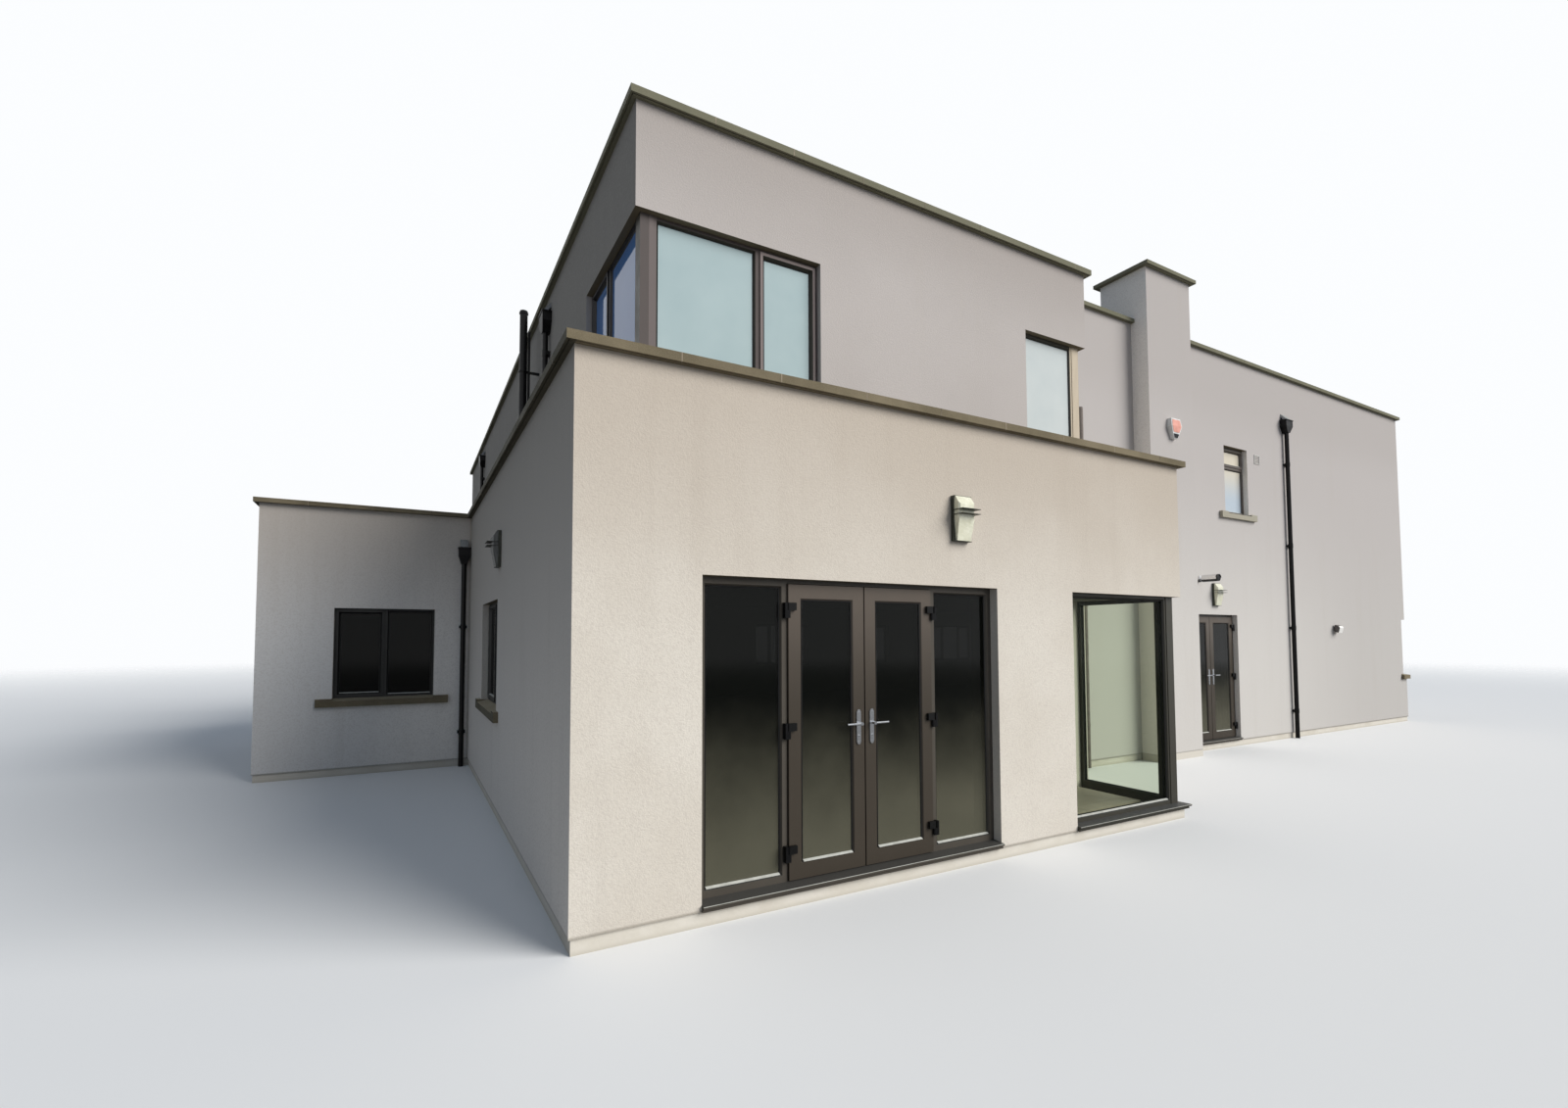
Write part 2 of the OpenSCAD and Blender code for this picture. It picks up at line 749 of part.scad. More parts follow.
module chimney_breast() house_axes() color(render_colour) {
    y0 = main_set - chimney_out;
    profile_yz(chimney_x, chimney_x + chimney_w) polygon([
        [y0, 0], [main_set, 0], [main_set, main_h], [main_set + wall_t, main_h],
        [main_set + wall_t, main_roof_z], [y0 + chimney_d, main_roof_z],
        [y0 + chimney_d, stack_z], [y0, stack_z]
    ]);
}

// Section of the cap over a half width: flat below, falling from the middle to the edges
module cap_section(half) {
    edge = cap_t - cap_fall;
    polygon([[-half, 0], [half, 0], [half, edge], [0, cap_t], [-half, edge]]);
}

// Plan of the cap, drawn in by a distance
module cap_plan(inset) {
    square([chimney_w + 2 * (cap_over - inset), chimney_d + 2 * (cap_over - inset)], center = true);
}

// The cap falls from its middle to all four edges
module chimney_cap() house_axes() color(stone_colour) {
    half_w = chimney_w / 2 + cap_over;
    half_d = chimney_d / 2 + cap_over;
    translate([chimney_x + chimney_w / 2, main_set - chimney_out + chimney_d / 2, stack_z]) difference() {
        intersection() {
            profile_xz(-half_d, half_d) cap_section(half_w);
            profile_yz(-half_w, half_w) cap_section(half_d);
        }
        translate([0, 0, -cut]) linear_extrude(drip_d + cut) difference() {
            cap_plan(drip_in);
            cap_plan(drip_in + drip_w);
        }
    }
}

// Hole for one pane [x0, x1, z0, z1] in a bar of thickness t: straight behind the glass, beads before it
module pane_hole(p, t) {
    glass_y = (t - glass_t) / 2;
    front_y = -sash_out - cut;
    back_y = glass_y + cut / 2;
    flare = bead_w * (glass_y - front_y) / glass_y;
    box([p[0], glass_y, p[2]], [p[1], 2 * t, p[3]]);
    intersection() {
        translate([0, 0, p[2] - flare]) linear_extrude(p[3] - p[2] + 2 * flare)
            polygon([[p[0] - flare, front_y], [p[1] + flare, front_y], [p[1], back_y], [p[0], back_y]]);
        profile_yz(p[0] - flare, p[1] + flare)
            polygon([[front_y, p[2] - flare], [back_y, p[2]], [back_y, p[3]], [front_y, p[3] + flare]]);
    }
    pane(p, t);
}

// One sealed glass unit, held in the groove of its bars
module pane(p, t) {
    y0 = (t - glass_t) / 2;
    box([p[0] - glass_in, y0, p[2] - glass_in], [p[1] + glass_in, y0 + glass_t, p[3] + glass_in]);
}

// Lights of a plain window as [x0, x1, z0, z1, opens]
function window_lights(w, h, pattern) =
    let (x0 = win_bar - w / 2, x1 = w / 2 - win_bar, z0 = win_bar, z1 = h - win_bar, half = win_mullion / 2)
    pattern == PAIR ? [[x0, -half, z0, z1, true], [half, x1, z0, z1, false]] :
    pattern == TOP_LIGHT ?
        let (z = transom_z - upper_sill_z) [[x0, x1, z0, z - half, false], [x0, x1, z + half, z1, true]] :
    let (x = w * wide_share / 2)
        [[x0, -x - half, z0, z1, true], [half - x, x - half, z0, z1, false], [x + half, x1, z0, z1, true]];

// The pane of a light: an opening one has the bars of its sash round it
function light_pane(l) = let (bar = l[4] ? sash_w - sash_lap : 0)
    [l[0] + bar, l[1] - bar, l[2] + bar, l[3] - bar];

// A frame over [x0, x1] and [0, h] with its lights; opening sashes stand out from it
module lit_frame(x0, x1, h, lights) {
    lap = sash_lap;
    difference() {
        union() {
            box([x0, 0, 0], [x1, frame_d, h]);
            for (l = lights) if (l[4])
                box([l[0] - lap, -sash_out, l[2] - lap], [l[1] + lap, frame_d / 2, l[3] + lap]);
        }
        for (l = lights) pane_hole(light_pane(l), frame_d);
    }
}

module window_frames() house_axes() color(frame_colour) {
    for (w = all_windows) on_face(w[0], w[1], w[4], w[2]) translate([0, reveal, 0])
        lit_frame(-w[3] / 2, w[3] / 2, w[5] - w[4], window_lights(w[3], w[5] - w[4], w[6]));
}

module window_glass() house_axes() color(glass_colour) {
    for (w = all_windows) on_face(w[0], w[1], w[4], w[2]) translate([0, reveal, 0])
        for (l = window_lights(w[3], w[5] - w[4], w[6])) pane(light_pane(l), frame_d);
}

// Section of a stone sill: sloped top, drip groove; flat from y = flat_y inwards
module sill_section(flat_y) {
    groove = drip_in - sill_out;
    polygon([
        [-sill_out, -sill_t], [groove, -sill_t], [groove, drip_d - sill_t],
        [groove + drip_w, drip_d - sill_t], [groove + drip_w, -sill_t], [frame_in, -sill_t],
        [frame_in, 0], [flat_y, 0], [-sill_out, -sill_fall]
    ]);
}

// A stone sill with flat stools at both ends of its slope
module sill(w) {
    profile_yz(-w / 2, w / 2) sill_section(reveal);
    for (side = [-1, 1]) translate([side * (w + sill_ear) / 2, 0, 0])
        box([-sill_ear / 2, -sill_out, -sill_t], [sill_ear / 2, frame_in, 0]);
}

// A section turned round an outer corner with a mitre, drawn for a left corner at the origin
module mitred(front_l, side_l, out) {
    module half(l) {
        intersection() {
            profile_yz(-out, l) children();
            translate([0, 0, -sill_t]) linear_extrude(2 * sill_t)
                polygon([[-out, -out], [l, -out], [l, frame_in], [frame_in, frame_in]]);
        }
    }
    half(front_l) children();
    mirror([1, -1, 0]) half(side_l) children();
}

module window_sills() house_axes() color(stone_colour) {
    for (w = all_windows) on_face(w[0], w[1], w[4], w[2]) sill(w[3]);
    translate([main_r, main_set, sill_z]) mirror([1, 0, 0])
        mitred(post_end + end_sill_ear, end_corner_side + end_sill_ear, sill_out) sill_section(corner_set);
}

// Lights of a run that starts at a post, split at shares of its length; the last of several opens
function run_lights(l, h, foot, splits) = let (edges = concat([0], splits, [1]), last = len(splits))
    [for (k = [0:last]) [
        edges[k] * l + (k == 0 ? win_bar : win_mullion / 2),
        edges[k + 1] * l - (k == last ? win_bar : win_mullion / 2),
        foot, h - win_bar, k == last && last > 0
    ]];

// Both runs of a corner window, drawn for a left corner; the children use their $l and $lights
module corner_runs(c) {
    for (run = [[c[4], c[7], 0], [c[5], c[8], 1]]) if (run[0] > post_end)
        mirror([run[2], -run[2], 0]) translate([post_end, corner_set + post_proud, 0]) {
            $l = run[0] - post_end;
            $lights = run_lights($l, c[6], c[9], run[1]);
            children();
        }
}

// Puts a corner window, drawn for a left corner at the origin, at its corner
module at_corner(c) {
    translate([c[0], c[1], c[2]]) mirror([c[3] ? 1 : 0, 0, 0]) children();
}

// Section of a folded metal sill in front of a frame that stands at y = frame_y
module nose_section(frame_y) {
    top = floor_t;
    polygon([
        [frame_y, 0], [frame_y, top], [-nose_out, top - nose_rise], [-nose_out, top - nose_rise - nose_h],
        [-nose_out / 2, top - nose_rise - nose_h], [-nose_out / 2, 0]
    ]);
}

module corner_frames() house_axes() color(frame_colour) {
    for (c = corner_windows) at_corner(c) {
        box([corner_set, corner_set, 0], [post_end, post_end, c[6]]);
        corner_runs(c) lit_frame(0, $l, c[6], $lights);
    }
    at_corner(low_corner) mitred(low_corner_front, low_corner_side, nose_out)
        nose_section(corner_set + post_proud);
}

module corner_glass() house_axes() color(glass_colour) {
    for (c = corner_windows) at_corner(c) corner_runs(c) for (l = $lights) pane(light_pane(l), frame_d);
}

// Opening of a pair of leaves with the stop that they close against
module pair_hole(w, head) {
    top = head - leaf_head;
    box([-w / 2, -cut, threshold_z], [w / 2, stop_y, top]);
    box([-w / 2 + stop_w, stop_y - cut, threshold_z], [w / 2 - stop_w, 2 * stop_y, top - stop_w]);
}

// Outer frame of a glazed door of width w, with its folded sill
module door_frame(w, head) {
    box([-w / 2, reveal, plinth_h], [w / 2, stop_y + stop_t, head]);
    translate([0, 0, plinth_h]) profile_yz(-w / 2, w / 2) nose_section(reveal);
}

module door_screen_frame() house_axes() color(frame_colour) {
    translate([front_mid, 0, 0]) difference() {
        door_frame(door_w, head_z);
        pair_hole(pair_w, head_z);
        translate([0, reveal, 0]) for (p = side_panes) pane_hole(p, frame_d);
    }
}

module door_screen_glass() house_axes() color(glass_colour) {
    translate([front_mid, reveal, 0]) for (p = side_panes) pane(p, frame_d);
}

module side_door_frame() house_axes() color(frame_colour) {
    translate([side_mid, main_set, 0]) difference() {
        door_frame(side_w, side_head);
        pair_hole(side_pair_w, side_head);
    }
}

// The pane of a leaf of width w and height h
function leaf_glass(w, h) = [stile_w, w - stile_w, bottom_rail, h - stile_w];

// A leaf hinged at x = 0 and reaching to +x, its front face at y = 0
module leaf(w, h) {
    difference() {
        box([0, 0, 0], [w, leaf_t, h]);
        pane_hole(leaf_glass(w, h), leaf_t);
    }
    for (f = hinge_levels) translate([-leaf_gap / 2, hinge_y - leaf_y, f * h]) leaf_knuckle();
}

// Upper half of a hinge: a knuckle with its bore, and the arm that fixes it to the leaf
module leaf_knuckle() {
    half = hinge_h / 2;
    difference() {
        union() {
            cylinder(r = hinge_r, h = half, $fn = round_fn);
            box([0, -hinge_r, 0], [hinge_arm, leaf_y - hinge_y, half]);
        }
        translate([0, 0, -cut]) cylinder(r = hinge_pin + running_gap, h = half + 2 * cut, $fn = round_fn);
    }
}

// Lower half of a hinge: a knuckle with its pin, the plate on the frame, and the cover beside both knuckles
module frame_knuckle() {
    half = hinge_h / 2;
    cover_x = -hinge_r - leaf_gap;
    translate([0, 0, -half]) {
        cylinder(r = hinge_r, h = half - running_gap, $fn = round_fn);
        cylinder(r = hinge_pin, h = 0.98 * hinge_h, $fn = round_fn);
        box([cover_x - hinge_cover, -hinge_r, 0], [0, reveal - hinge_y, half - running_gap]);
        box([cover_x - hinge_cover, -hinge_r, 0], [cover_x, reveal - hinge_y, hinge_h]);
    }
}

// Backplates and levers on both faces of a leaf that is hinged at x = 0
module lever_set(w) {
    half = plate_w / 2;
    up = 0.4 * plate_h;
    down = -0.6 * plate_h;
    for (face = [0, 1])
        translate([w - stile_w / 2, face * leaf_t, lever_h + floor_z - leaf_z]) mirror([0, face, 0]) {
            profile_xz(-plate_t, 0) polygon([
                [-half, down + half], [-half / 2, down], [half / 2, down], [half, down + half],
                [half, up - half], [half / 2, up], [-half / 2, up], [-half, up - half]
            ]);
            rotate([90, 0, 0]) cylinder(r = neck_r, h = lever_out, $fn = round_fn);
            translate([0, neck_r - lever_out, 0]) {
                rotate([0, -90, 0]) cylinder(r = lever_r, h = lever_l, $fn = round_fn);
                translate([lever_r - lever_l, 0, 0]) rotate([-90, 0, 0])
                    cylinder(r = 0.8 * lever_r, h = lever_back, $fn = round_fn);
            }
        }
}

// Places a left leaf of a pair; a right leaf is its mirror image
module left_leaf_place(mid, face_y, pair) {
    translate([mid - pair / 2 + leaf_gap, face_y + leaf_y, leaf_z]) children();
}

module right_leaf_place(mid, face_y, pair) {
    translate([mid + pair / 2 - leaf_gap, face_y + leaf_y, leaf_z]) mirror([1, 0, 0]) children();
}

module front_leaf_left() house_axes() color(frame_colour)
    left_leaf_place(front_mid, 0, pair_w) leaf(leaf_w(pair_w), front_leaf_h);
module front_leaf_left_glass() house_axes() color(glass_colour)
    left_leaf_place(front_mid, 0, pair_w) pane(leaf_glass(leaf_w(pair_w), front_leaf_h), leaf_t);
module front_leaf_left_handle() house_axes() color(chrome)
    left_leaf_place(front_mid, 0, pair_w) lever_set(leaf_w(pair_w));
module front_leaf_right() house_axes() color(frame_colour)
    right_leaf_place(front_mid, 0, pair_w) leaf(leaf_w(pair_w), front_leaf_h);
module front_leaf_right_glass() house_axes() color(glass_colour)
    right_leaf_place(front_mid, 0, pair_w) pane(leaf_glass(leaf_w(pair_w), front_leaf_h), leaf_t);
module front_leaf_right_handle() house_axes() color(chrome)
    right_leaf_place(front_mid, 0, pair_w) lever_set(leaf_w(pair_w));
module side_leaf_left() house_axes() color(frame_colour)
    left_leaf_place(side_mid, main_set, side_pair_w) leaf(leaf_w(side_pair_w), side_leaf_h);
module side_leaf_left_glass() house_axes() color(glass_colour)
    left_leaf_place(side_mid, main_set, side_pair_w)
        pane(leaf_glass(leaf_w(side_pair_w), side_leaf_h), leaf_t);
module side_leaf_left_handle() house_axes() color(chrome)
    left_leaf_place(side_mid, main_set, side_pair_w) lever_set(leaf_w(side_pair_w));
module side_leaf_right() house_axes() color(frame_colour)
    right_leaf_place(side_mid, main_set, side_pair_w) leaf(leaf_w(side_pair_w), side_leaf_h);
module side_leaf_right_glass() house_axes() color(glass_colour)
    right_leaf_place(side_mid, main_set, side_pair_w)
        pane(leaf_glass(leaf_w(side_pair_w), side_leaf_h), leaf_t);
module side_leaf_right_handle() house_axes() color(chrome)
    right_leaf_place(side_mid, main_set, side_pair_w) lever_set(leaf_w(side_pair_w));

module door_hinge_plates() house_axes() color(black) {
    for (d = [[front_mid, 0, pair_w, front_leaf_h], [side_mid, main_set, side_pair_w, side_leaf_h]])
        for (s = [-1, 1], f = hinge_levels)
            translate([d[0] + s * (d[2] / 2 - leaf_gap / 2), d[1] + hinge_y, leaf_z + f * d[3]])
                mirror([s > 0 ? 1 : 0, 0, 0]) frame_knuckle();
}

// A hopper head of half width w on its wall's face: rim at z = 0, hollow at the top, drawn in to the pipe
module hopper(w) {
    h = hopper_h;
    foot_w = pipe_r + hopper_t;
    foot_d = pipe_gap + 2 * pipe_r + hopper_t;
    difference() {
        union() {
            intersection() {
                profile_yz(-w, w)
                    polygon([[0, -h], [-foot_d, -h], [-hopper_d, -h / 2], [-hopper_d, 0], [0, 0]]);
                profile_xz(-hopper_d, 0)
                    polygon([[-foot_w, -h], [foot_w, -h], [w, -h / 2], [w, 0], [-w, 0], [-w, -h / 2]]);
            }
            box([-w - hopper_t, -hopper_d - hopper_t, -2 * hopper_t], [w + hopper_t, 0, 0]);
        }
        box([hopper_t - w, hopper_t - hopper_d, -h / 2], [w - hopper_t, -hopper_t, cut]);
    }
}

// The chute, of half width w, that leads from the parapet down into a hopper head
module chute(w) {
    out = hopper_d - 2 * hopper_t;
    profile_yz(-w, w) polygon([
        [0, chute_h / 2], [0, chute_h], [-out, hopper_t], [-out, -hopper_t], [-out / 2, -hopper_t],
        [-2 * hopper_t, chute_h / 2]
    ]);
}

// A rainwater pipe in front of its wall's face, from z0 to the rim at z1 of a hopper of width w
module rainwater_pipe(z0, z1, w) {
    foot = z1 - hopper_h;
    pipe_y = -pipe_gap - pipe_r;
    translate([0, 0, z1]) {
        hopper(w / 2);
        chute(w / 3);
    }
    translate([0, pipe_y, z0]) cylinder(r = pipe_r, h = foot + cut - z0, $fn = round_fn);
    for (z = [z0 + first_clip:clip_step:foot - 2 * clip_h]) translate([0, 0, z]) {
        translate([0, pipe_y, -clip_h]) cylinder(r = pipe_r + hopper_t / 2, h = 2 * clip_h, $fn = round_fn);
        box([-pipe_r - clip_ear, pipe_y, -clip_h / 2], [pipe_r + clip_ear, 0, clip_h / 2]);
    }
}

// The pipe beside the far doors, the one in the wing's corner, and the two on the upper block
module rainwater_pipes() house_axes() color(black) {
    on_face(side_x + side_w + main_pipe_x, main_set, 0, FRONT)
        rainwater_pipe(0, main_roof_z - hopper_drop, hopper_w);
    on_face(-wing_pipe_x, wing_set, 0, FRONT)
        rainwater_pipe(0, low_roof_z - hopper_drop, wing_hopper_w);
    for (k = [0, 1]) on_face(upper_set_left, upper_pipe_y + k * upper_pipe_step, 0, LEFT)
        rainwater_pipe(low_roof_z, upper_roof_z - hopper_drop, hopper_w);
}

// The flue with its collar and cap, and the thinner vent pipe beside it, clamped to the wall
module flue() house_axes() color(black) {
    band = clip_h / 2;
    translate([upper_set_left - flue_x, flue_y, low_roof_z]) {
        cylinder(r = flue_r, h = flue_h, $fn = round_fn);
        cylinder(r = flue_r + clip_h, h = band, $fn = round_fn);
        for (z = [clamp_h, flue_h - 2 * band]) translate([0, 0, z])
            cylinder(r = flue_r + hopper_t, h = band, $fn = round_fn);
        translate([vent_step, 0, 0]) cylinder(r = vent_r, h = vent_h, $fn = round_fn);
        box([0, -vent_r - hopper_t, clamp_h], [flue_x, vent_r + hopper_t, clamp_h + band]);
    }
}

// Glass body of a lamp between its end plates: widest from its lower fin to its shoulder
module lamp_body() {
    low = fin_t;
    high = lamp_h - fin_t;
    waist = fin_levels[0] * lamp_h;
    neck = glass_shoulder * lamp_h;
    translate([0, -lamp_box_d, 0]) intersection() {
        profile_yz(-lamp_mid_w, lamp_mid_w) polygon([
            [0, low], [-lamp_foot_d, low], [-lamp_mid_d, waist], [-lamp_mid_d, neck],
            [-lamp_top_d, high], [0, high]
        ]);
        profile_xz(-lamp_mid_d, 0) polygon([
            [-lamp_foot_w / 2, low], [lamp_foot_w / 2, low], [lamp_mid_w / 2, waist],
            [lamp_mid_w / 2, neck], [lamp_top_w / 2, high],
            [-lamp_top_w / 2, high], [-lamp_mid_w / 2, neck], [-lamp_mid_w / 2, waist]
        ]);
        linear_extrude(lamp_h) glass_plan(lamp_mid_w / 2, lamp_mid_d);
    }
}

// Plan of a lamp's glass: a rectangle with its front corners cut off
module glass_plan(w, d) {
    polygon([[-w, 0], [w, 0], [w, -0.8 * d], [0.85 * w, -d], [-0.85 * w, -d], [-w, -0.8 * d]]);
}

module lamp_brackets() house_axes() color(black) {
    box_w = lamp_box_w / 2;
    for (p = lamp_places) on_face(p[0], p[1], p[3], p[2]) {
        box([-box_w, -lamp_box_d, 0], [box_w, 0, lamp_h]);
        translate([0, -lamp_box_d, 0]) {
            linear_extrude(fin_t) glass_plan(box_w, lamp_foot_d);
            box([-box_w, -lamp_top_d, lamp_h - fin_t], [box_w, 0, lamp_h]);
        }
        difference() {
            for (f = fin_levels) translate([0, 0, f * lamp_h])
                box([-lamp_fin_w / 2, -lamp_out, 0], [lamp_fin_w / 2, cut - lamp_box_d, fin_t]);
            lamp_body();
        }
    }
}

module lamp_shades() house_axes() color([0.78, 0.84, 0.76]) {
    for (p = lamp_places) on_face(p[0], p[1], p[3], p[2]) lamp_body();
}

// A shield-shaped case whose front leans back above and below its widest level
module alarm_box() house_axes() color([0.93, 0.93, 0.92]) {
    w = alarm_w / 2;
    wide = 0.6 * alarm_h;
    translate([chimney_x + chimney_w / 2, main_set - chimney_out, alarm_z]) intersection() {
        profile_xz(-alarm_d, 0) polygon([
            [-0.35 * w, 0], [0.35 * w, 0], [w, wide], [0.85 * w, alarm_h], [-0.85 * w, alarm_h], [-w, wide]
        ]);
        profile_yz(-w, w) polygon([
            [0, 0], [-0.75 * alarm_d, 0], [-alarm_d, wide], [-0.8 * alarm_d, alarm_h], [0, alarm_h]
        ]);
    }
}

// A camera on a round base: a tube that points out from the wall, with a hood and a sunk lens
module wall_camera() house_axes() color([0.75, 0.75, 0.75]) {
    base_l = (camera_out - camera_l) / 2;
    lens_r = camera_r - 2 * hood_t;
    translate([side_x + camera_x, main_set, camera_z]) rotate([90, 0, 0]) {
        cylinder(r = camera_r, h = base_l, $fn = round_fn);
        cylinder(r = camera_r / 3, h = 2 * base_l + cut, $fn = round_fn);
        difference() {
            translate([0, 0, 2 * base_l]) union() {
                cylinder(r = camera_r, h = camera_l - 2 * hood_t, $fn = round_fn);
                difference() {
                    cylinder(r = camera_r + hood_t, h = camera_l, $fn = round_fn);
                    box([-2 * camera_r, -2 * camera_r, -cut], [2 * camera_r, 0, camera_l + cut]);
                }
            }
            translate([0, 0, camera_out - 4 * hood_t]) cylinder(r = lens_r, h = camera_l, $fn = round_fn);
        }
    }
}

// A flood lamp: a wedge-shaped body with a sloped face, on a bracket
module flood_lamp() house_axes() color([0.55, 0.56, 0.55]) {
    w = flood_w / 2;
    back = -flood_d / 4;
    translate([side_x + side_w + flood_x, main_set, flood_z]) {
        profile_yz(-w, w) polygon([
            [back, flood_h / 8], [-0.8 * flood_d, 0], [-flood_d, 0.6 * flood_h],
            [-0.85 * flood_d, 0.85 * flood_h], [back, flood_h]
        ]);
        box([-w / 3, back - cut, flood_h / 4], [w / 3, 0, 0.7 * flood_h]);
    }
}

base_slab();
ground_floor();
upper_floor();
front_wall_left();
front_wall_middle();
front_wall_head();
left_wall();
right_wall();
wing_walls();
main_wall_left();
main_wall_low();
main_wall_upper();
end_wall();
back_wall();
upper_front_wall();
upper_left_wall();
upper_right_wall();
low_roof();
upper_roof();
main_roof();
low_coping();
upper_coping();
main_coping();
chimney_breast();
chimney_cap();
door_screen_frame();
door_screen_glass();
door_hinge_plates();
front_leaf_left();
front_leaf_left_glass();
front_leaf_left_handle();
front_leaf_right();
front_leaf_right_glass();
front_leaf_right_handle();
side_door_frame();
side_leaf_left();
side_leaf_left_glass();
side_leaf_left_handle();
side_leaf_right();
side_leaf_right_glass();
side_leaf_right_handle();
corner_frames();
corner_glass();
window_frames();
window_glass();
window_sills();
rainwater_pipes();
flue();
lamp_brackets();
lamp_shades();
alarm_box();
wall_camera();
flood_lamp();
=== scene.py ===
"""Looks of a flat-roofed house: finishes of its parts, glazing trims, coping joints and small fittings."""
import math
import bmesh
import bpy
from mathutils import Matrix, Vector


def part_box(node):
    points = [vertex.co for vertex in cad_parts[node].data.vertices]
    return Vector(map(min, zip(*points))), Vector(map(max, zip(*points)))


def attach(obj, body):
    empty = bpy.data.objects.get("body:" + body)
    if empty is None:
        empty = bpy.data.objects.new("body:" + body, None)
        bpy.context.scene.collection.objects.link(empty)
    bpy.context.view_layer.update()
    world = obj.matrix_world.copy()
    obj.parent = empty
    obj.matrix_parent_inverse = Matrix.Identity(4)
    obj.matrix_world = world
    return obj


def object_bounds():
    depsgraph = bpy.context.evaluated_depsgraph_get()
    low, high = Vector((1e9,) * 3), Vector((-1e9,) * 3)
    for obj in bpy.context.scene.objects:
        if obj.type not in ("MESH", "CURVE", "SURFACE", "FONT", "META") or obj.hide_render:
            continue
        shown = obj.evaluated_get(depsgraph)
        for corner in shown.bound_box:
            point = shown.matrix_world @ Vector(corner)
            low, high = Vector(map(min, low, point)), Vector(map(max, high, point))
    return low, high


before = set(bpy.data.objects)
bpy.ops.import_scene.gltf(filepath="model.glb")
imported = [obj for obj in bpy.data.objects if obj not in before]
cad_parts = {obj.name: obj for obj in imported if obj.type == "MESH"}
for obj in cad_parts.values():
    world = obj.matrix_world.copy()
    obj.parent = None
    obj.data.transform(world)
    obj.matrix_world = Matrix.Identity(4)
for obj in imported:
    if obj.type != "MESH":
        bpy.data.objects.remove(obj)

CAD_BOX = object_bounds()
BODY = "house"
X, Y, Z = Vector((1, 0, 0)), Vector((0, 1, 0)), Vector((0, 0, 1))

# The front block's left corner on the ground, from which places on the house are measured
HOME = Vector((*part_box("front_wall_head")[0].xy, 0))
# Lowest and highest corners of the parts, measured from there
LOW = {node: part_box(node)[0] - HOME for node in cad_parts}
HIGH = {node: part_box(node)[1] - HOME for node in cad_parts}

# Outer faces and wall tops of the front block, the upper block, the main house, the wing and the chimney
BLOCK_RIGHT, BLOCK_TOP = HIGH["front_wall_head"].x, HIGH["front_wall_head"].z
UPPER_LEFT, UPPER_FRONT = LOW["upper_front_wall"].xy
UPPER_RIGHT, UPPER_TOP = HIGH["upper_front_wall"].x, HIGH["upper_front_wall"].z
MAIN_LEFT, MAIN_FRONT = LOW["upper_right_wall"].x, LOW["main_wall_left"].y
MAIN_RIGHT, MAIN_TOP = HIGH["end_wall"].x, HIGH["end_wall"].z
WING_LEFT, WING_FRONT, WING_BACK = *LOW["wing_walls"].xy, HIGH["wing_walls"].y
CHIMNEY_LEFT, CHIMNEY_RIGHT = LOW["chimney_breast"].x, HIGH["chimney_breast"].x
BACK, WALL, PLINTH_TOP = HIGH["back_wall"].y, HIGH["front_wall_head"].y, HIGH["base_slab"].z
# Rims of the hopper heads, a little below the roofs that they drain
RIM_DROP = 0.08
MAIN_RIM, UPPER_RIM, LOW_RIM = (HIGH[roof].z - RIM_DROP for roof in ("main_roof", "upper_roof", "low_roof"))
# Places just right of the left walls, between the two upper corner windows, and right of the front block
PAST_LEFT_WALLS, MID_UPPER, PAST_BLOCK = 1.0, 3.2, 8.0
# A level between the windows of the two floors
MID_FLOORS = 3.0
# The front doors, the side doors and the low corner window
DOORS_LEFT, DOORS_RIGHT = LOW["door_screen_frame"].x, HIGH["door_screen_frame"].x
SIDE_DOORS_LEFT, SIDE_DOORS_RIGHT = LOW["side_door_frame"].x, HIGH["side_door_frame"].x
CORNER_LEFT, CORNER_BACK = HIGH["front_wall_middle"].x, 1.11
# How far the doors' leaves lie behind the face of their wall
LEAF_IN = 0.064


def at(x=0.0, y=0.0, z=0.0):
    """A place measured from the front block's left corner, in the frame of the row."""
    return HOME + Vector((x, y, z))


# Shader maths

class Wire:
    """A socket in a material's nodes. Arithmetic on wires and numbers adds Math nodes."""

    def __init__(self, tree, socket=None):
        self.tree, self.socket = tree, socket

    def node(self, kind, settings=None, sockets=None, output=0):
        """Any node: its settings first, then values or wires for its sockets."""
        made = self.tree.nodes.new("ShaderNode" + kind)
        for name, value in (settings or {}).items():
            setattr(made, name, value)
        for name, value in (sockets or {}).items():
            if isinstance(value, Wire):
                self.tree.links.new(value.socket, made.inputs[name])
            else:
                made.inputs[name].default_value = value
        return Wire(self.tree, made.outputs[output])

    def feed(self, socket):
        """Links this wire to a socket of another node."""
        self.tree.links.new(self.socket, socket)

    def maths(self, operation, *values):
        """A Math node, from wires or numbers."""
        return self.node("Math", {"operation": operation}, dict(enumerate(values)))

    def __add__(self, other):
        return self.maths("ADD", self, other)

    def __sub__(self, other):
        return self.maths("SUBTRACT", self, other)

    def __rsub__(self, other):
        return self.maths("SUBTRACT", other, self)

    def __mul__(self, other):
        return self.maths("MULTIPLY", self, other)

    __radd__, __rmul__ = __add__, __mul__

    def __gt__(self, other):
        return self.maths("GREATER_THAN", self, other)

    def __lt__(self, other):
        return self.maths("LESS_THAN", self, other)


def paint(red, green, blue):
    """A colour given as it shows on a screen, 0 to 255, as the linear colour that a socket takes."""
    def linear(value):
        value /= 255
        return value / 12.92 if value <= 0.04045 else ((value + 0.055) / 1.055) ** 2.4
    return (linear(red), linear(green), linear(blue), 1.0)


def parts_of(w, vector):
    """The x, y and z wires of a vector wire."""
    return tuple(w.node("SeparateXYZ", None, {0: vector}, k) for k in range(3))


def place(w):
    """Position on the piece at rest: a wire for the vector, and one each for x, y and z."""
    spot = w.node("TexCoord", output="Object")
    return (spot,) + parts_of(w, spot)


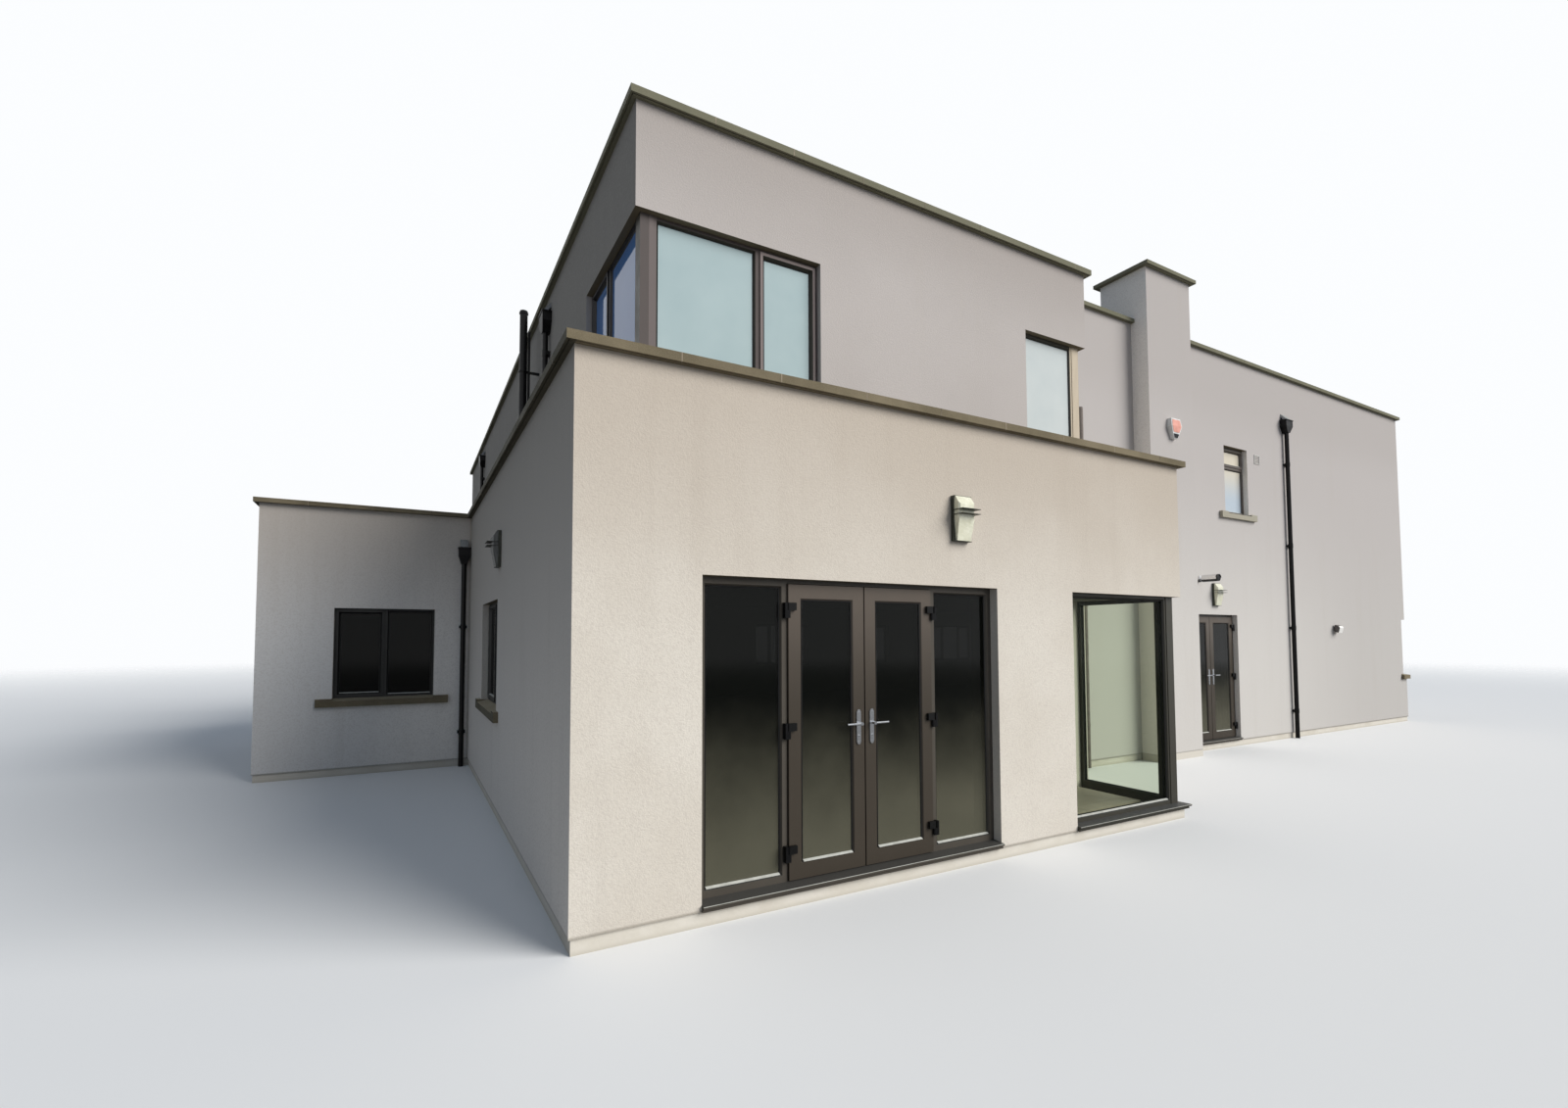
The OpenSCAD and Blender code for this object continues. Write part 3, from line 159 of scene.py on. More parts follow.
def facing(w, k):
    """How far the surface faces along x, y or z."""
    return w.node("SeparateXYZ", None, {0: w.node("TexCoord", output="Normal")}, k)


def turned_from(w, k):
    """1 where the surface faces against an axis: left for x (0), down for z (2)."""
    return ease(w, facing(w, k), -0.9, -0.5, 1.0, 0.0)


def grain(w, spot, scale, detail=4.0, stretch=None):
    """Noise about a middle of one half."""
    if stretch:
        spot = w.node("VectorMath", {"operation": "MULTIPLY"}, {0: spot, 1: stretch})
    return w.node("TexNoise", None, {"Vector": spot, "Scale": scale, "Detail": detail, "Roughness": 0.6})


def ease(w, value, low, high, bottom=0.0, top=1.0):
    """A smooth rise from bottom to top while value goes from low to high."""
    return w.node("MapRange", {"interpolation_type": "SMOOTHSTEP"},
                  {0: value, 1: low, 2: high, 3: bottom, 4: top})


def mixed(w, share, first, second):
    """First colour where share is 0, second where it is 1."""
    return w.node("Mix", {"data_type": "RGBA"}, {0: share, 6: first, 7: second}, 2)


def bumped(w, height, depth, strength):
    """A normal that follows a height."""
    return w.node("Bump", None, {"Strength": strength, "Distance": depth, "Height": height})


def finish(name, fixed, pattern):
    """A material: fixed numbers on its shader, and the sockets that its pattern feeds."""
    made = bpy.data.materials.new(name)
    made.use_nodes = True
    shader = made.node_tree.nodes["Principled BSDF"]
    for socket, value in fixed.items():
        shader.inputs[socket].default_value = value
    for socket, wire in pattern(Wire(made.node_tree)).items():
        wire.feed(shader.inputs[socket])
    return made


# Finishes of walls, stone, floors and roofs

# How far behind the outer faces the rooms' smooth plaster starts, and the same on the upper block
ROOM_IN, UPPER_ROOM_IN = 0.28, 0.27
# Boxes of the rooms: front block, main house and wing, then the upper block and the main upper floor
ROOMS = [
    (at(ROOM_IN, ROOM_IN, PLINTH_TOP), at(BLOCK_RIGHT - 0.26, BACK - ROOM_IN, MID_FLOORS)),
    (at(5.9, MAIN_FRONT + ROOM_IN, PLINTH_TOP), at(MAIN_RIGHT - ROOM_IN, BACK - ROOM_IN, MID_FLOORS)),
    (at(WING_LEFT + ROOM_IN, WING_FRONT + ROOM_IN, PLINTH_TOP), at(WALL, WING_BACK - ROOM_IN, MID_FLOORS)),
    (at(UPPER_LEFT + UPPER_ROOM_IN, UPPER_FRONT + UPPER_ROOM_IN, MID_FLOORS),
     at(UPPER_RIGHT - UPPER_ROOM_IN, BACK - ROOM_IN, 5.62)),
    (at(5.6, MAIN_FRONT + ROOM_IN, MID_FLOORS), at(MAIN_RIGHT - ROOM_IN, BACK - ROOM_IN, 5.75)),
]


def inside_rooms(w, spot):
    """1 inside the rooms, 0 on the outer faces: a box's distance on each axis, the farthest one counting."""
    share = None
    for low, high in ROOMS:
        away = w.node("VectorMath", {"operation": "SUBTRACT"}, {0: spot, 1: (low + high) / 2})
        away = w.node("VectorMath", {"operation": "ABSOLUTE"}, {0: away})
        past = w.node("VectorMath", {"operation": "SUBTRACT"}, {0: away, 1: (high - low) / 2})
        past_x, past_y, past_z = parts_of(w, past)
        farthest = w.maths("MAXIMUM", w.maths("MAXIMUM", past_x, past_y), past_z)
        share = farthest if share is None else w.maths("MINIMUM", share, farthest)
    return share < 0


def wall_colour(w, patches, x, z, leftward):
    """The render's tone by wall: warm off-white below, mauve-grey above and on the main house, painted shade
    on left faces, painted light on the wing's front and the chimney's left face. Also a mask of the walls
    above the front coping and of the main house."""
    clouds = ease(w, patches, 0.35, 0.65)
    block = mixed(w, clouds, paint(220, 213, 201), paint(212, 204, 191))
    upper_block = mixed(w, clouds, paint(187, 180, 175), paint(183, 176, 171))
    rightward = ease(w, x, at(12).x, at(17).x)
    main_foot = mixed(w, rightward, paint(208, 204, 198), paint(192, 188, 183))
    main_house = mixed(w, ease(w, z + patches * 0.6, 1.5, 5.4), main_foot, paint(188, 182, 178))
    on_main = w.maths("MAXIMUM", x > at(BLOCK_RIGHT + 0.01).x, facing(w, 1) > 0.5)
    above = ease(w, z, BLOCK_TOP + 0.01, BLOCK_TOP + 0.05)
    behind = w.maths("MAXIMUM", above, on_main)
    colour = mixed(w, behind, block, mixed(w, on_main, upper_block, main_house))
    under_roof = ease(w, z, 5.1, 6.1, 0.0, 0.48)
    colour = mixed(w, under_roof * (1 - on_main * 0.6), colour, paint(158, 149, 142))
    # Painted shade on left faces: lighter at the front block's foot, darker up the wall, darkest above the
    # front coping
    low_left_painted_shade = mixed(w, ease(w, z, -0.4, 4.2), paint(242, 235, 226), paint(150, 145, 137))
    left_painted_shade = mixed(w, above, low_left_painted_shade, paint(146, 141, 133))
    on_left = leftward * (x < at(PAST_LEFT_WALLS).x)
    colour = mixed(w, on_left * 0.95, colour, left_painted_shade)
    # Painted light on the wing's front: lighter and warmer towards the front block, against the shade in that
    # corner
    inward = ease(w, x, at(-2.0).x, at(-0.5).x)
    wing_painted_light = mixed(w, inward, paint(229, 227, 224), paint(252, 246, 238))
    wing_front = (x < at(-0.02).x) * (facing(w, 1) < -0.5)
    colour = mixed(w, wing_front, colour, wing_painted_light)
    # Painted light on the chimney's left face, which lies in shade
    chimney_side_painted_light = leftward * (x > at(PAST_BLOCK).x)
    return mixed(w, chimney_side_painted_light, colour, paint(250, 244, 236)), behind


def roughcast(w):
    """Fine roughcast, streaked by rain; browner up the wall below the front coping, a dark drip line at its
    foot, painted shade in olive-brown on outdoor faces that turn down, as under the heads of openings, and
    plain plaster indoors."""
    spot, x, y, z = place(w)
    indoors = inside_rooms(w, spot)
    patches = grain(w, spot, 0.7, 3.0)
    fine = grain(w, spot, 60.0, 6.0)
    streaks = grain(w, spot, 1.0, 5.0, (5.0, 5.0, 0.35))
    leftward = turned_from(w, 0)
    colour, behind = wall_colour(w, patches, x, z, leftward)
    colour = mixed(w, ease(w, fine, 0.42, 0.7, 0.0, 0.28), colour, paint(184, 175, 166))
    colour = mixed(w, ease(w, streaks, 0.5, 0.8, 0.0, 0.16), colour, paint(180, 172, 162))
    # Browner up the front block's walls towards the coping, except on faces that turn left
    browner_upwards = ease(w, z + streaks * 0.25, 1.6, 3.9, 0.0, 0.64)
    colour = mixed(w, browner_upwards * (1 - behind) * (1 - leftward), colour, paint(180, 166, 150))
    drip_line = ease(w, z, PLINTH_TOP + 0.004, PLINTH_TOP + 0.022, 0.5, 0.0)
    colour = mixed(w, drip_line, colour, paint(120, 112, 98))
    colour = mixed(w, z < PLINTH_TOP - 0.001, colour, paint(214, 208, 196))
    # Painted shade: olive-brown on outdoor faces that turn down, such as the heads of openings
    colour = mixed(w, turned_from(w, 2) * (1 - indoors), colour, paint(112, 102, 84))
    colour = mixed(w, indoors, colour, paint(196, 192, 184))
    height = grain(w, spot, 110.0, 5.0) + fine * 0.8 + patches * 0.15
    return {"Base Color": colour, "Normal": bumped(w, height * (1 - indoors * 0.95), 0.005, 0.45)}


def plinth_coat(w):
    """Smooth cream masonry paint, splashed grey near the ground."""
    spot, x, y, z = place(w)
    patches = grain(w, spot, 2.4, 5.0)
    colour = mixed(w, ease(w, patches, 0.35, 0.7), paint(222, 216, 204), paint(210, 203, 189))
    colour = mixed(w, ease(w, z + patches * 0.06, 0.01, 0.07, 0.55, 0.0), colour, paint(168, 160, 142))
    return {"Base Color": colour, "Normal": bumped(w, grain(w, spot, 40.0) + patches, 0.003, 0.4)}


def cut_stone(w):
    """Olive-brown stone: fine sandy grain, weather stains, painted light that makes upper faces paler. It is
    greyer above the front coping, pale on the upper windows' sills, and painted dark as shade on the faces of
    the left walls' stone that turn left or down."""
    spot, x, y, z = place(w)
    stains = grain(w, spot, 1.6, 6.0)
    sand = grain(w, spot, 150.0, 3.0)
    coping_top = BLOCK_TOP + 0.07
    colour = mixed(w, ease(w, stains, 0.3, 0.7), paint(128, 117, 95), paint(104, 95, 76))
    colour = mixed(w, ease(w, sand, 0.45, 0.7, 0.0, 0.4), colour, paint(146, 137, 116))
    colour = mixed(w, ease(w, z, coping_top, 4.1, 0.0, 0.75), colour, paint(116, 116, 98))
    sill_foot, sill_top, sill_back = 3.9, 4.06, MAIN_FRONT + 0.04
    upper_sills = (z > sill_foot) * (z < sill_top) * (y < at(y=sill_back).y)
    colour = mixed(w, upper_sills * 0.8, colour, paint(176, 170, 154))
    # Painted shade on the left walls' stone where it faces left or down
    stone_painted_shade = w.maths("MAXIMUM", turned_from(w, 0) * 0.9, turned_from(w, 2) * 0.7)
    colour = mixed(w, stone_painted_shade * (z < coping_top) * (x < at().x), colour, paint(58, 58, 48))
    # Painted light: upper faces paler
    colour = mixed(w, ease(w, facing(w, 2), 0.3, 0.9, 0.0, 0.55), colour, paint(158, 150, 130))
    return {"Base Color": colour, "Normal": bumped(w, sand + stains * 0.5, 0.003, 0.5),
            "Roughness": ease(w, stains, 0.3, 0.7, 0.75, 0.92)}


def roofing(w):
    """Roof membrane in metre-wide sheets with lapped seams, puddle marks and grit."""
    spot, x, y, z = place(w)
    half_sheet = 0.5
    lap = ease(w, w.maths("PINGPONG", x, half_sheet), 0.012, 0.03, 1.0, 0.0)
    puddles = grain(w, spot, 0.5, 5.0)
    grit = grain(w, spot, 90.0, 2.0)
    colour = mixed(w, ease(w, puddles, 0.35, 0.65), paint(86, 88, 90), paint(108, 108, 105))
    colour = mixed(w, lap * 0.6, colour, paint(60, 61, 63))
    return {"Base Color": colour, "Normal": bumped(w, lap + grit * 0.3, 0.006, 0.5)}


def floor_tiles(w):
    """Matt floor tiles 600 mm square with recessed grout; the slab's underside is plain."""
    spot, x, y, z = place(w)
    half_tile = 0.3
    edge = w.maths("MINIMUM", w.maths("PINGPONG", x, half_tile), w.maths("PINGPONG", y, half_tile))
    grout = ease(w, edge, 0.002, 0.004, 1.0, 0.0)
    cloud = grain(w, spot, 3.0, 5.0)
    colour = mixed(w, ease(w, cloud, 0.3, 0.7), paint(176, 166, 150), paint(158, 148, 132))
    colour = mixed(w, grout * 0.7, colour, paint(112, 106, 96))
    colour = mixed(w, turned_from(w, 2), colour, paint(206, 204, 198))
    return {"Base Color": colour, "Normal": bumped(w, 1 - grout, 0.002, 0.5)}


# Finishes of frames and metal

def coated(colour, dust, foot=None):
    """Powder-coated metal: a faint cloud of dust, another colour on upper faces, a fine uneven skin."""
    def pattern(w):
        spot, x, y, z = place(w)
        clouds = grain(w, spot, 5.0, 4.0)
        up = ease(w, facing(w, 2), 0.2, 0.9, 0.0, 0.8)
        skin = mixed(w, ease(w, clouds, 0.35, 0.7, 0.0, 0.3), paint(*colour), paint(*dust))
        skin = mixed(w, up, skin, paint(*(foot or dust)))
        return {"Base Color": skin, "Roughness": ease(w, clouds, 0.3, 0.7, 0.36, 0.5),
                "Normal": bumped(w, grain(w, spot, 420.0, 2.0), 0.0006, 0.25)}
    return pattern


def worn(colour, tint, scale, rough=(0.4, 0.55), depth=0.0005):
    """A plain finish with a faint second tint and a fine grain."""
    def pattern(w):
        spot, x, y, z = place(w)
        cloud = grain(w, spot, scale, 5.0)
        return {"Base Color": mixed(w, ease(w, cloud, 0.35, 0.7), paint(*colour), paint(*tint)),
                "Roughness": ease(w, cloud, 0.3, 0.7, *rough),
                "Normal": bumped(w, grain(w, spot, scale * 12, 3.0), depth, 0.4)}
    return pattern


def corner_coat(w):
    """The corner windows' coat: mauve-grey on the front of the upper left window, painted near black as shade
    on its side; the upper right window's post is tan, its ribs painted as stripes of light and shade."""
    sockets = coated((60, 58, 51), (72, 69, 61), (70, 71, 70))(w)
    spot, x, y, z = place(w)
    upstairs = z > MID_FLOORS
    sash_left, sash_right, sash_foot, sash_head = 1.745, 2.31, 4.02, 5.17
    sash = (x > at(sash_left).x) * (x < at(sash_right).x) * (z > sash_foot) * (z < sash_head)
    left_half, left_post_end = 0.76, 0.824
    post_tone = mixed(w, x < at(left_half).x, paint(112, 103, 100), paint(90, 83, 80))
    frame_tone = mixed(w, sash, paint(88, 80, 77), paint(128, 117, 114))
    lit = mixed(w, x < at(left_post_end).x, frame_tone, post_tone)
    front = upstairs * (x < at(MID_UPPER).x) * (facing(w, 1) < -0.5)
    colour = mixed(w, front, sockets["Base Color"], lit)
    # Painted shade: near black on the upper left window's side
    side = upstairs * (x < at(0.9).x) * (y > at(y=0.97).y)
    colour = mixed(w, side, colour, paint(12, 12, 18))
    post_left, post_right, post_back, post_foot = 5.785, 5.99, 0.978, 3.9
    post = (x > at(post_left).x) * (x < at(post_right).x) * (y < at(y=post_back).y) * (z > post_foot)
    # Ribs painted as stripes of light and shade on the tan post
    ribs = w.maths("SINE", (x + y) * 300.0)
    tan = mixed(w, ease(w, ribs, -0.6, 0.6), paint(178, 164, 142), paint(210, 196, 174))
    sockets["Base Color"] = mixed(w, post, colour, tan)
    return sockets


def window_coat(w):
    """Brown-grey coat; on the ground floor's windows painted shade makes it near black."""
    sockets = coated((96, 88, 82), (108, 100, 94))(w)
    spot, x, y, z = place(w)
    # Painted shade: near black on the ground floor's windows
    sockets["Base Color"] = mixed(w, z < MID_FLOORS, sockets["Base Color"], paint(34, 35, 35))
    return sockets


def leaf_coat(wall_y):
    """The leaves' taupe coat, darker at the foot; their hinge arms, which stand out in front, are black."""
    def pattern(w):
        sockets = coated((89, 81, 73), (102, 93, 84))(w)
        spot, x, y, z = place(w)
        colour = mixed(w, ease(w, z, 1.3, 2.2, 0.9, 0.0), sockets["Base Color"], paint(60, 54, 46))
        in_front = y < at(y=wall_y + LEAF_IN).y - 0.001
        sockets["Base Color"] = mixed(w, in_front, colour, paint(8, 8, 8))
        return sockets
    return pattern


def pipe_coat(w):
    """Black pipes; the chutes above the high hopper heads are light grey."""
    sockets = BLACK(w)
    spot, x, y, z = place(w)
    above = 0.002
    on_upper = (z > UPPER_RIM + above) * (x < at(PAST_LEFT_WALLS).x)
    high = w.maths("MAXIMUM", z > MAIN_RIM + above, on_upper)
    sockets["Base Color"] = mixed(w, high, sockets["Base Color"], paint(168, 168, 170))
    return sockets


# Finishes of glass and of the wall fittings

def window_panes(w):
    """Glazing: dark on the ground floor; on the upper floor a pale painted reflection, blue on the left,
    palest on the upper right corner window, and on the main house warm over bluish."""
    spot, x, y, z = place(w)
    smear = grain(w, spot, 1.3, 3.0)
    upper = z > MID_FLOORS
    # Painted reflection on the upper floor's panes
    painted_reflection = mixed(w, smear, paint(164, 186, 189), paint(196, 213, 212))
    palest = mixed(w, smear, paint(196, 206, 206), paint(226, 230, 226))
    painted_reflection = mixed(w, ease(w, x, at(MID_UPPER).x, at(5.0).x), painted_reflection, palest)
    painted_reflection = mixed(w, turned_from(w, 0), painted_reflection, paint(108, 150, 208))
    main_painted_reflection = mixed(w, ease(w, z, 4.2, 4.9), paint(196, 208, 218), paint(228, 218, 198))
    painted_reflection = mixed(w, x > at(PAST_BLOCK).x, painted_reflection, main_painted_reflection)
    return {"Base Color": mixed(w, upper, paint(12, 13, 11), painted_reflection),
            "Roughness": ease(w, smear, 0.3, 0.7, 0.015, 0.05), "Alpha": upper * 0.1 + 0.72}


def low_corner(w):
    """1 on the panes of the low corner window."""
    spot, x, y, z = place(w)
    return (z < MID_FLOORS) * (x < at(PAST_BLOCK).x)


def corner_panes(w):
    """As the other windows, but the low corner window's glass is green."""
    sockets = window_panes(w)
    sockets["Base Color"] = mixed(w, low_corner(w), sockets["Base Color"], paint(26, 32, 24))
    return sockets


def clear_low_panes(made):
    """Lets most light through the low corner window's panes with a green tint."""
    tint, clearness = (0.97, 1.0, 0.95, 1), 0.87
    tree = made.node_tree
    w = Wire(tree)
    glass = Wire(tree, tree.nodes["Principled BSDF"].outputs[0])
    clear = w.node("BsdfTransparent", None, {"Color": tint})
    blend = w.node("MixShader", None, {0: low_corner(w) * clearness, 1: glass, 2: clear})
    blend.feed(tree.nodes["Material Output"].inputs["Surface"])


def door_glass(w):
    """Dark glass with a painted reflection, paler and greener towards its foot."""
    spot, x, y, z = place(w)
    smear = grain(w, spot, 1.9, 3.0)
    # Painted reflection: paler and greener towards the foot
    foot = ease(w, z + smear * 0.5, 0.5, 1.7, 0.8, 0.0)
    return {"Base Color": mixed(w, foot, paint(8, 10, 7), paint(106, 104, 88)),
            "Roughness": ease(w, smear, 0.3, 0.7, 0.015, 0.05)}


def ribbed_glass(w):
    """Frosted lamp glass, pale green-white, with close upright ribs; the left wall's lamp is painted grey as
    shade.
    """
    spot, x, y, z = place(w)
    ribs = w.maths("SINE", (x + y) * 520.0)
    haze = grain(w, spot, 14.0, 3.0)
    colour = mixed(w, ease(w, haze, 0.3, 0.7), paint(248, 246, 222), paint(230, 228, 200))
    # Painted shade: the left wall's lamp is grey
    colour = mixed(w, x < at().x, colour, paint(92, 94, 92))
    return {"Base Color": colour, "Normal": bumped(w, ribs, 0.002, 0.6)}


def camera_case(w):
    """A tube of bright metal with a black front edge; its lower half is painted black as shade."""
    spot, x, y, z = place(w)
    cloud = grain(w, spot, 20.0, 3.0)
    underside, front_edge = 2.80, 1.86
    # Painted shade: black on the lower half of the tube
    bright = (z > underside) * (y > at(y=front_edge).y)
    return {"Base Color": mixed(w, bright, paint(18, 18, 19), paint(222, 222, 222)),
            "Metallic": bright, "Roughness": ease(w, cloud, 0.3, 0.7, 0.18, 0.26)}


def flood_case(w):
    """Flood lamp: brown-grey body with a white lens on its front and underside."""
    spot, x, y, z = place(w)
    cloud = grain(w, spot, 20.0, 3.0)
    head = y < at(y=MAIN_FRONT - 0.04).y
    lens = w.maths("MAXIMUM", facing(w, 2) < -0.5, facing(w, 1) < -0.7) * head
    return {"Base Color": mixed(w, lens, paint(92, 86, 84), paint(238, 236, 230)),
            "Roughness": ease(w, cloud, 0.3, 0.7, 0.3, 0.45)}


def shine(level):
    """The fixed number for how much a surface mirrors."""
    return {"Specular IOR Level": level}


BLACK = worn((8, 8, 9), (18, 18, 19), 9.0, (0.35, 0.5))
FINISHES = {name: finish(name, fixed, pattern) for name, fixed, pattern in (
    ("roughcast", {"Roughness": 0.92, **shine(0.25)}, roughcast),
    ("plinth_coat", {"Roughness": 0.85}, plinth_coat),
    ("cut_stone", shine(0.3), cut_stone),
    ("roofing", {"Roughness": 0.8}, roofing),
    ("floor_tiles", {"Roughness": 0.45}, floor_tiles),
    ("frame_coat", shine(0.3), coated((76, 71, 64), (88, 83, 75), (62, 62, 60))),
    ("window_coat", shine(0.3), window_coat),
    ("corner_coat", shine(0.3), corner_coat),
    ("front_leaf_coat", shine(0.3), leaf_coat(0.0)),
    ("side_leaf_coat", shine(0.3), leaf_coat(MAIN_FRONT)),
    ("window_panes", {"IOR": 1.5, **shine(0.14)}, window_panes),
    ("corner_panes", {"IOR": 1.5, **shine(0.5)}, corner_panes),
    ("door_glass", {"IOR": 1.5, "Alpha": 0.76, **shine(0.18)}, door_glass),
    ("chrome", {"Metallic": 1.0}, worn((214, 216, 220), (196, 198, 202), 30.0, (0.1, 0.2))),
    ("black_metal", shine(0.2), BLACK),
    ("lamp_metal", shine(0.3), worn((58, 59, 52), (74, 75, 66), 20.0)),
    ("rubber", {}, worn((16, 16, 17), (28, 28, 29), 25.0, (0.55, 0.7))),
    ("ribbed_glass", {"Roughness": 0.28, "Coat Weight": 0.6, "Coat Roughness": 0.05}, ribbed_glass),
    ("white_plastic", {}, worn((226, 226, 224), (208, 208, 204), 12.0, (0.3, 0.42))),
    # Bright grey of the glazing beads; also the painted highlight along the sills' noses
    ("bead_and_sill_highlight", shine(0.2), worn((200, 200, 192), (178, 178, 170), 14.0, (0.4, 0.5))),
    ("grey_metal", {}, worn((150, 152, 150), (128, 130, 128), 14.0)),
    ("salmon_panel", {}, worn((230, 162, 144), (214, 146, 128), 12.0, (0.3, 0.4))),
    ("mortar", {}, worn((168, 154, 136), (62, 57, 48), 3.0, (0.85, 0.95), 0.001)),
    ("camera_case", {}, camera_case),
    ("pipe_coat", shine(0.2), pipe_coat),
    ("flood_case", {}, flood_case),
    ("vent_pipe", shine(0.3), worn((128, 119, 112), (112, 104, 98), 12.0)),
    ("vent_plastic", {}, worn((206, 203, 196), (188, 185, 178), 14.0)),
)}
clear_low_panes(FINISHES["corner_panes"])
DOORS = ["front_leaf_left", "front_leaf_right", "side_leaf_left", "side_leaf_right"]
NODE_FINISH = {
    "roughcast": ["front_wall_left", "front_wall_middle", "front_wall_head", "left_wall", "right_wall",
                  "wing_walls", "main_wall_left", "main_wall_low", "main_wall_upper", "end_wall", "back_wall",
                  "upper_front_wall", "upper_left_wall", "upper_right_wall", "chimney_breast"],
    "plinth_coat": ["base_slab"],
    "floor_tiles": ["ground_floor", "upper_floor"],
    "roofing": ["low_roof", "upper_roof", "main_roof"],
    "cut_stone": ["low_coping", "upper_coping", "main_coping", "chimney_cap", "window_sills"],
    "frame_coat": ["door_screen_frame", "side_door_frame"],
    "window_coat": ["window_frames"],
    "corner_coat": ["corner_frames"],
    "front_leaf_coat": DOORS[:2],
    "side_leaf_coat": DOORS[2:],
    "window_panes": ["window_glass"],
    "corner_panes": ["corner_glass"],
    "door_glass": ["door_screen_glass"] + [leaf + "_glass" for leaf in DOORS],
    "chrome": [leaf + "_handle" for leaf in DOORS],
    "black_metal": ["door_hinge_plates", "flue"],
    "pipe_coat": ["rainwater_pipes"],
    "lamp_metal": ["lamp_brackets"],
    "ribbed_glass": ["lamp_shades"],
    "white_plastic": ["alarm_box"],
    "camera_case": ["wall_camera"],
    "flood_case": ["flood_lamp"],
}
for name, nodes in NODE_FINISH.items():
    for node in nodes:
        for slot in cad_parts[node].material_slots:
            slot.material = FINISHES[name]


# Meshes

def piece(name, faces_of, finish_name, body=BODY):
    """A new piece from a function that fills a mesh, in the frame of the row, on a body."""
    bm = bmesh.new()
    faces_of(bm)
    bmesh.ops.recalc_face_normals(bm, faces=bm.faces)
    mesh = bpy.data.meshes.new(name)
    bm.to_mesh(mesh)
    bm.free()
    mesh.materials.append(FINISHES[finish_name])
    made = bpy.data.objects.new(name, mesh)
    bpy.context.scene.collection.objects.link(made)
    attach(made, body)


def sweep(bm, stations, closed=False):
    """Skins rings of points one after another; closed joins last to first, else both ends are capped."""
    rings = [[bm.verts.new(p) for p in ring] for ring in stations]
    pairs = list(zip(rings, rings[1:])) + ([(rings[-1], rings[0])] if closed else [])
    for one, two in pairs:
        for k in range(len(one)):
            n = (k + 1) % len(one)
            bm.faces.new((one[k], one[n], two[n], two[k]))
    if not closed:
        bm.faces.new(rings[0])
        bm.faces.new(rings[-1])


def prism(bm, origin, along, length, right, up, outline):
    """An outline in right and up, drawn along a direction."""
    ring = [origin + right * a + up * b for a, b in outline]
    sweep(bm, [ring, [p + along * length for p in ring]])


def frame_ring(bm, low, right, up, out, width, height, section):
    """A mitred ring round a rectangle, whose section is distances in from its edge and out of its plane."""
    stations = []
    for sx, sz in ((0, 0), (1, 0), (1, 1), (0, 1)):
        corner = low + right * (width * sx) + up * (height * sz)
        inward = right * (1 - 2 * sx) + up * (1 - 2 * sz)
        stations.append([corner + inward * a + out * b for a, b in section])
    sweep(bm, stations, closed=True)


def circle(centre, right, up, radius, sides):
    """Points round a centre in the plane of two directions."""
    turns = (2 * math.pi * k / sides for k in range(sides))
    return [centre + (right * math.cos(t) + up * math.sin(t)) * radius for t in turns]


def button(bm, centre, out, radius, height, sides=20):
    """A low round boss with a rounded rim, let a little into the face that it stands on."""
    right = out.orthogonal().normalized()
    up = out.cross(right)
    profile = ((1.0, -0.2), (1.0, 0.6), (0.86, 0.9), (0.6, 1.0))
    sweep(bm, [circle(centre + out * (height * rise), right, up, radius * share, sides)
               for share, rise in profile])


def islands(node):
    """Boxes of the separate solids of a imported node."""
    bm = bmesh.new()
    bm.from_mesh(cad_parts[node].data)
    bmesh.ops.remove_doubles(bm, verts=bm.verts, dist=1e-5)
    found, seen = [], set()
    for start in bm.verts:
        if start in seen:
            continue
        stack, group = [start], []
        seen.add(start)
        while stack:
            vert = stack.pop()
            group.append(vert.co.copy())
            for edge in vert.link_edges:
                other = edge.other_vert(vert)
                if other not in seen:
                    seen.add(other)
                    stack.append(other)
        found.append((Vector(map(min, *group)), Vector(map(max, *group))))
    bm.free()
    return found


# Glazing trims

# How far a pane's edges reach into its frame, and how thick it is
GLASS_IN, GLASS_T = 0.010, 0.028
# Sections as distances up from the pane's visible edge and out of its face
GASKET = [(-0.001, -0.001), (-0.001, 0.005), (0.002, 0.007), (0.006, 0.005), (0.007, -0.001)]
BEAD = [(-0.004, -0.001), (0.008, -0.001), (0.008, 0.003), (0.001, 0.020), (-0.004, 0.020)]
# How far a bead stops short at each end
BEAD_CLEAR = 0.006


def panes(node):
    """Each pane's outer face: lowest corner, right, up, outward direction, visible width and height."""
    found = []
    for low, high in islands(node):
        size = high - low
        if size.y < size.x:
            back = low.y > at(y=BACK - WALL).y
            out, right = (Y, X) if back else (-Y, X)
            face = Vector((low.x, high.y if back else low.y, low.z))
            width = size.x
        else:
            left = low.x < at(PAST_LEFT_WALLS).x
            out, right = (-X, Y) if left else (X, Y)
            face = Vector((low.x if left else high.x, low.y, low.z))
            width = size.y
        corner = face + (right + Z) * GLASS_IN
        found.append((corner, right, Z, out, width - 2 * GLASS_IN, size.z - 2 * GLASS_IN))
    return found


def gaskets(bm, glazing):
    """A rubber gasket round both faces of each pane."""
    for low, right, up, out, width, height in glazing:
        frame_ring(bm, low, right, up, out, width, height, GASKET)
        frame_ring(bm, low - out * GLASS_T, right, up, -out, width, height, GASKET)


def beads(bm, glazing):
    """The sloped bead under each pane."""
    for low, right, up, out, width, height in glazing:
        prism(bm, low + right * BEAD_CLEAR, right, width - 2 * BEAD_CLEAR, up, out, BEAD)


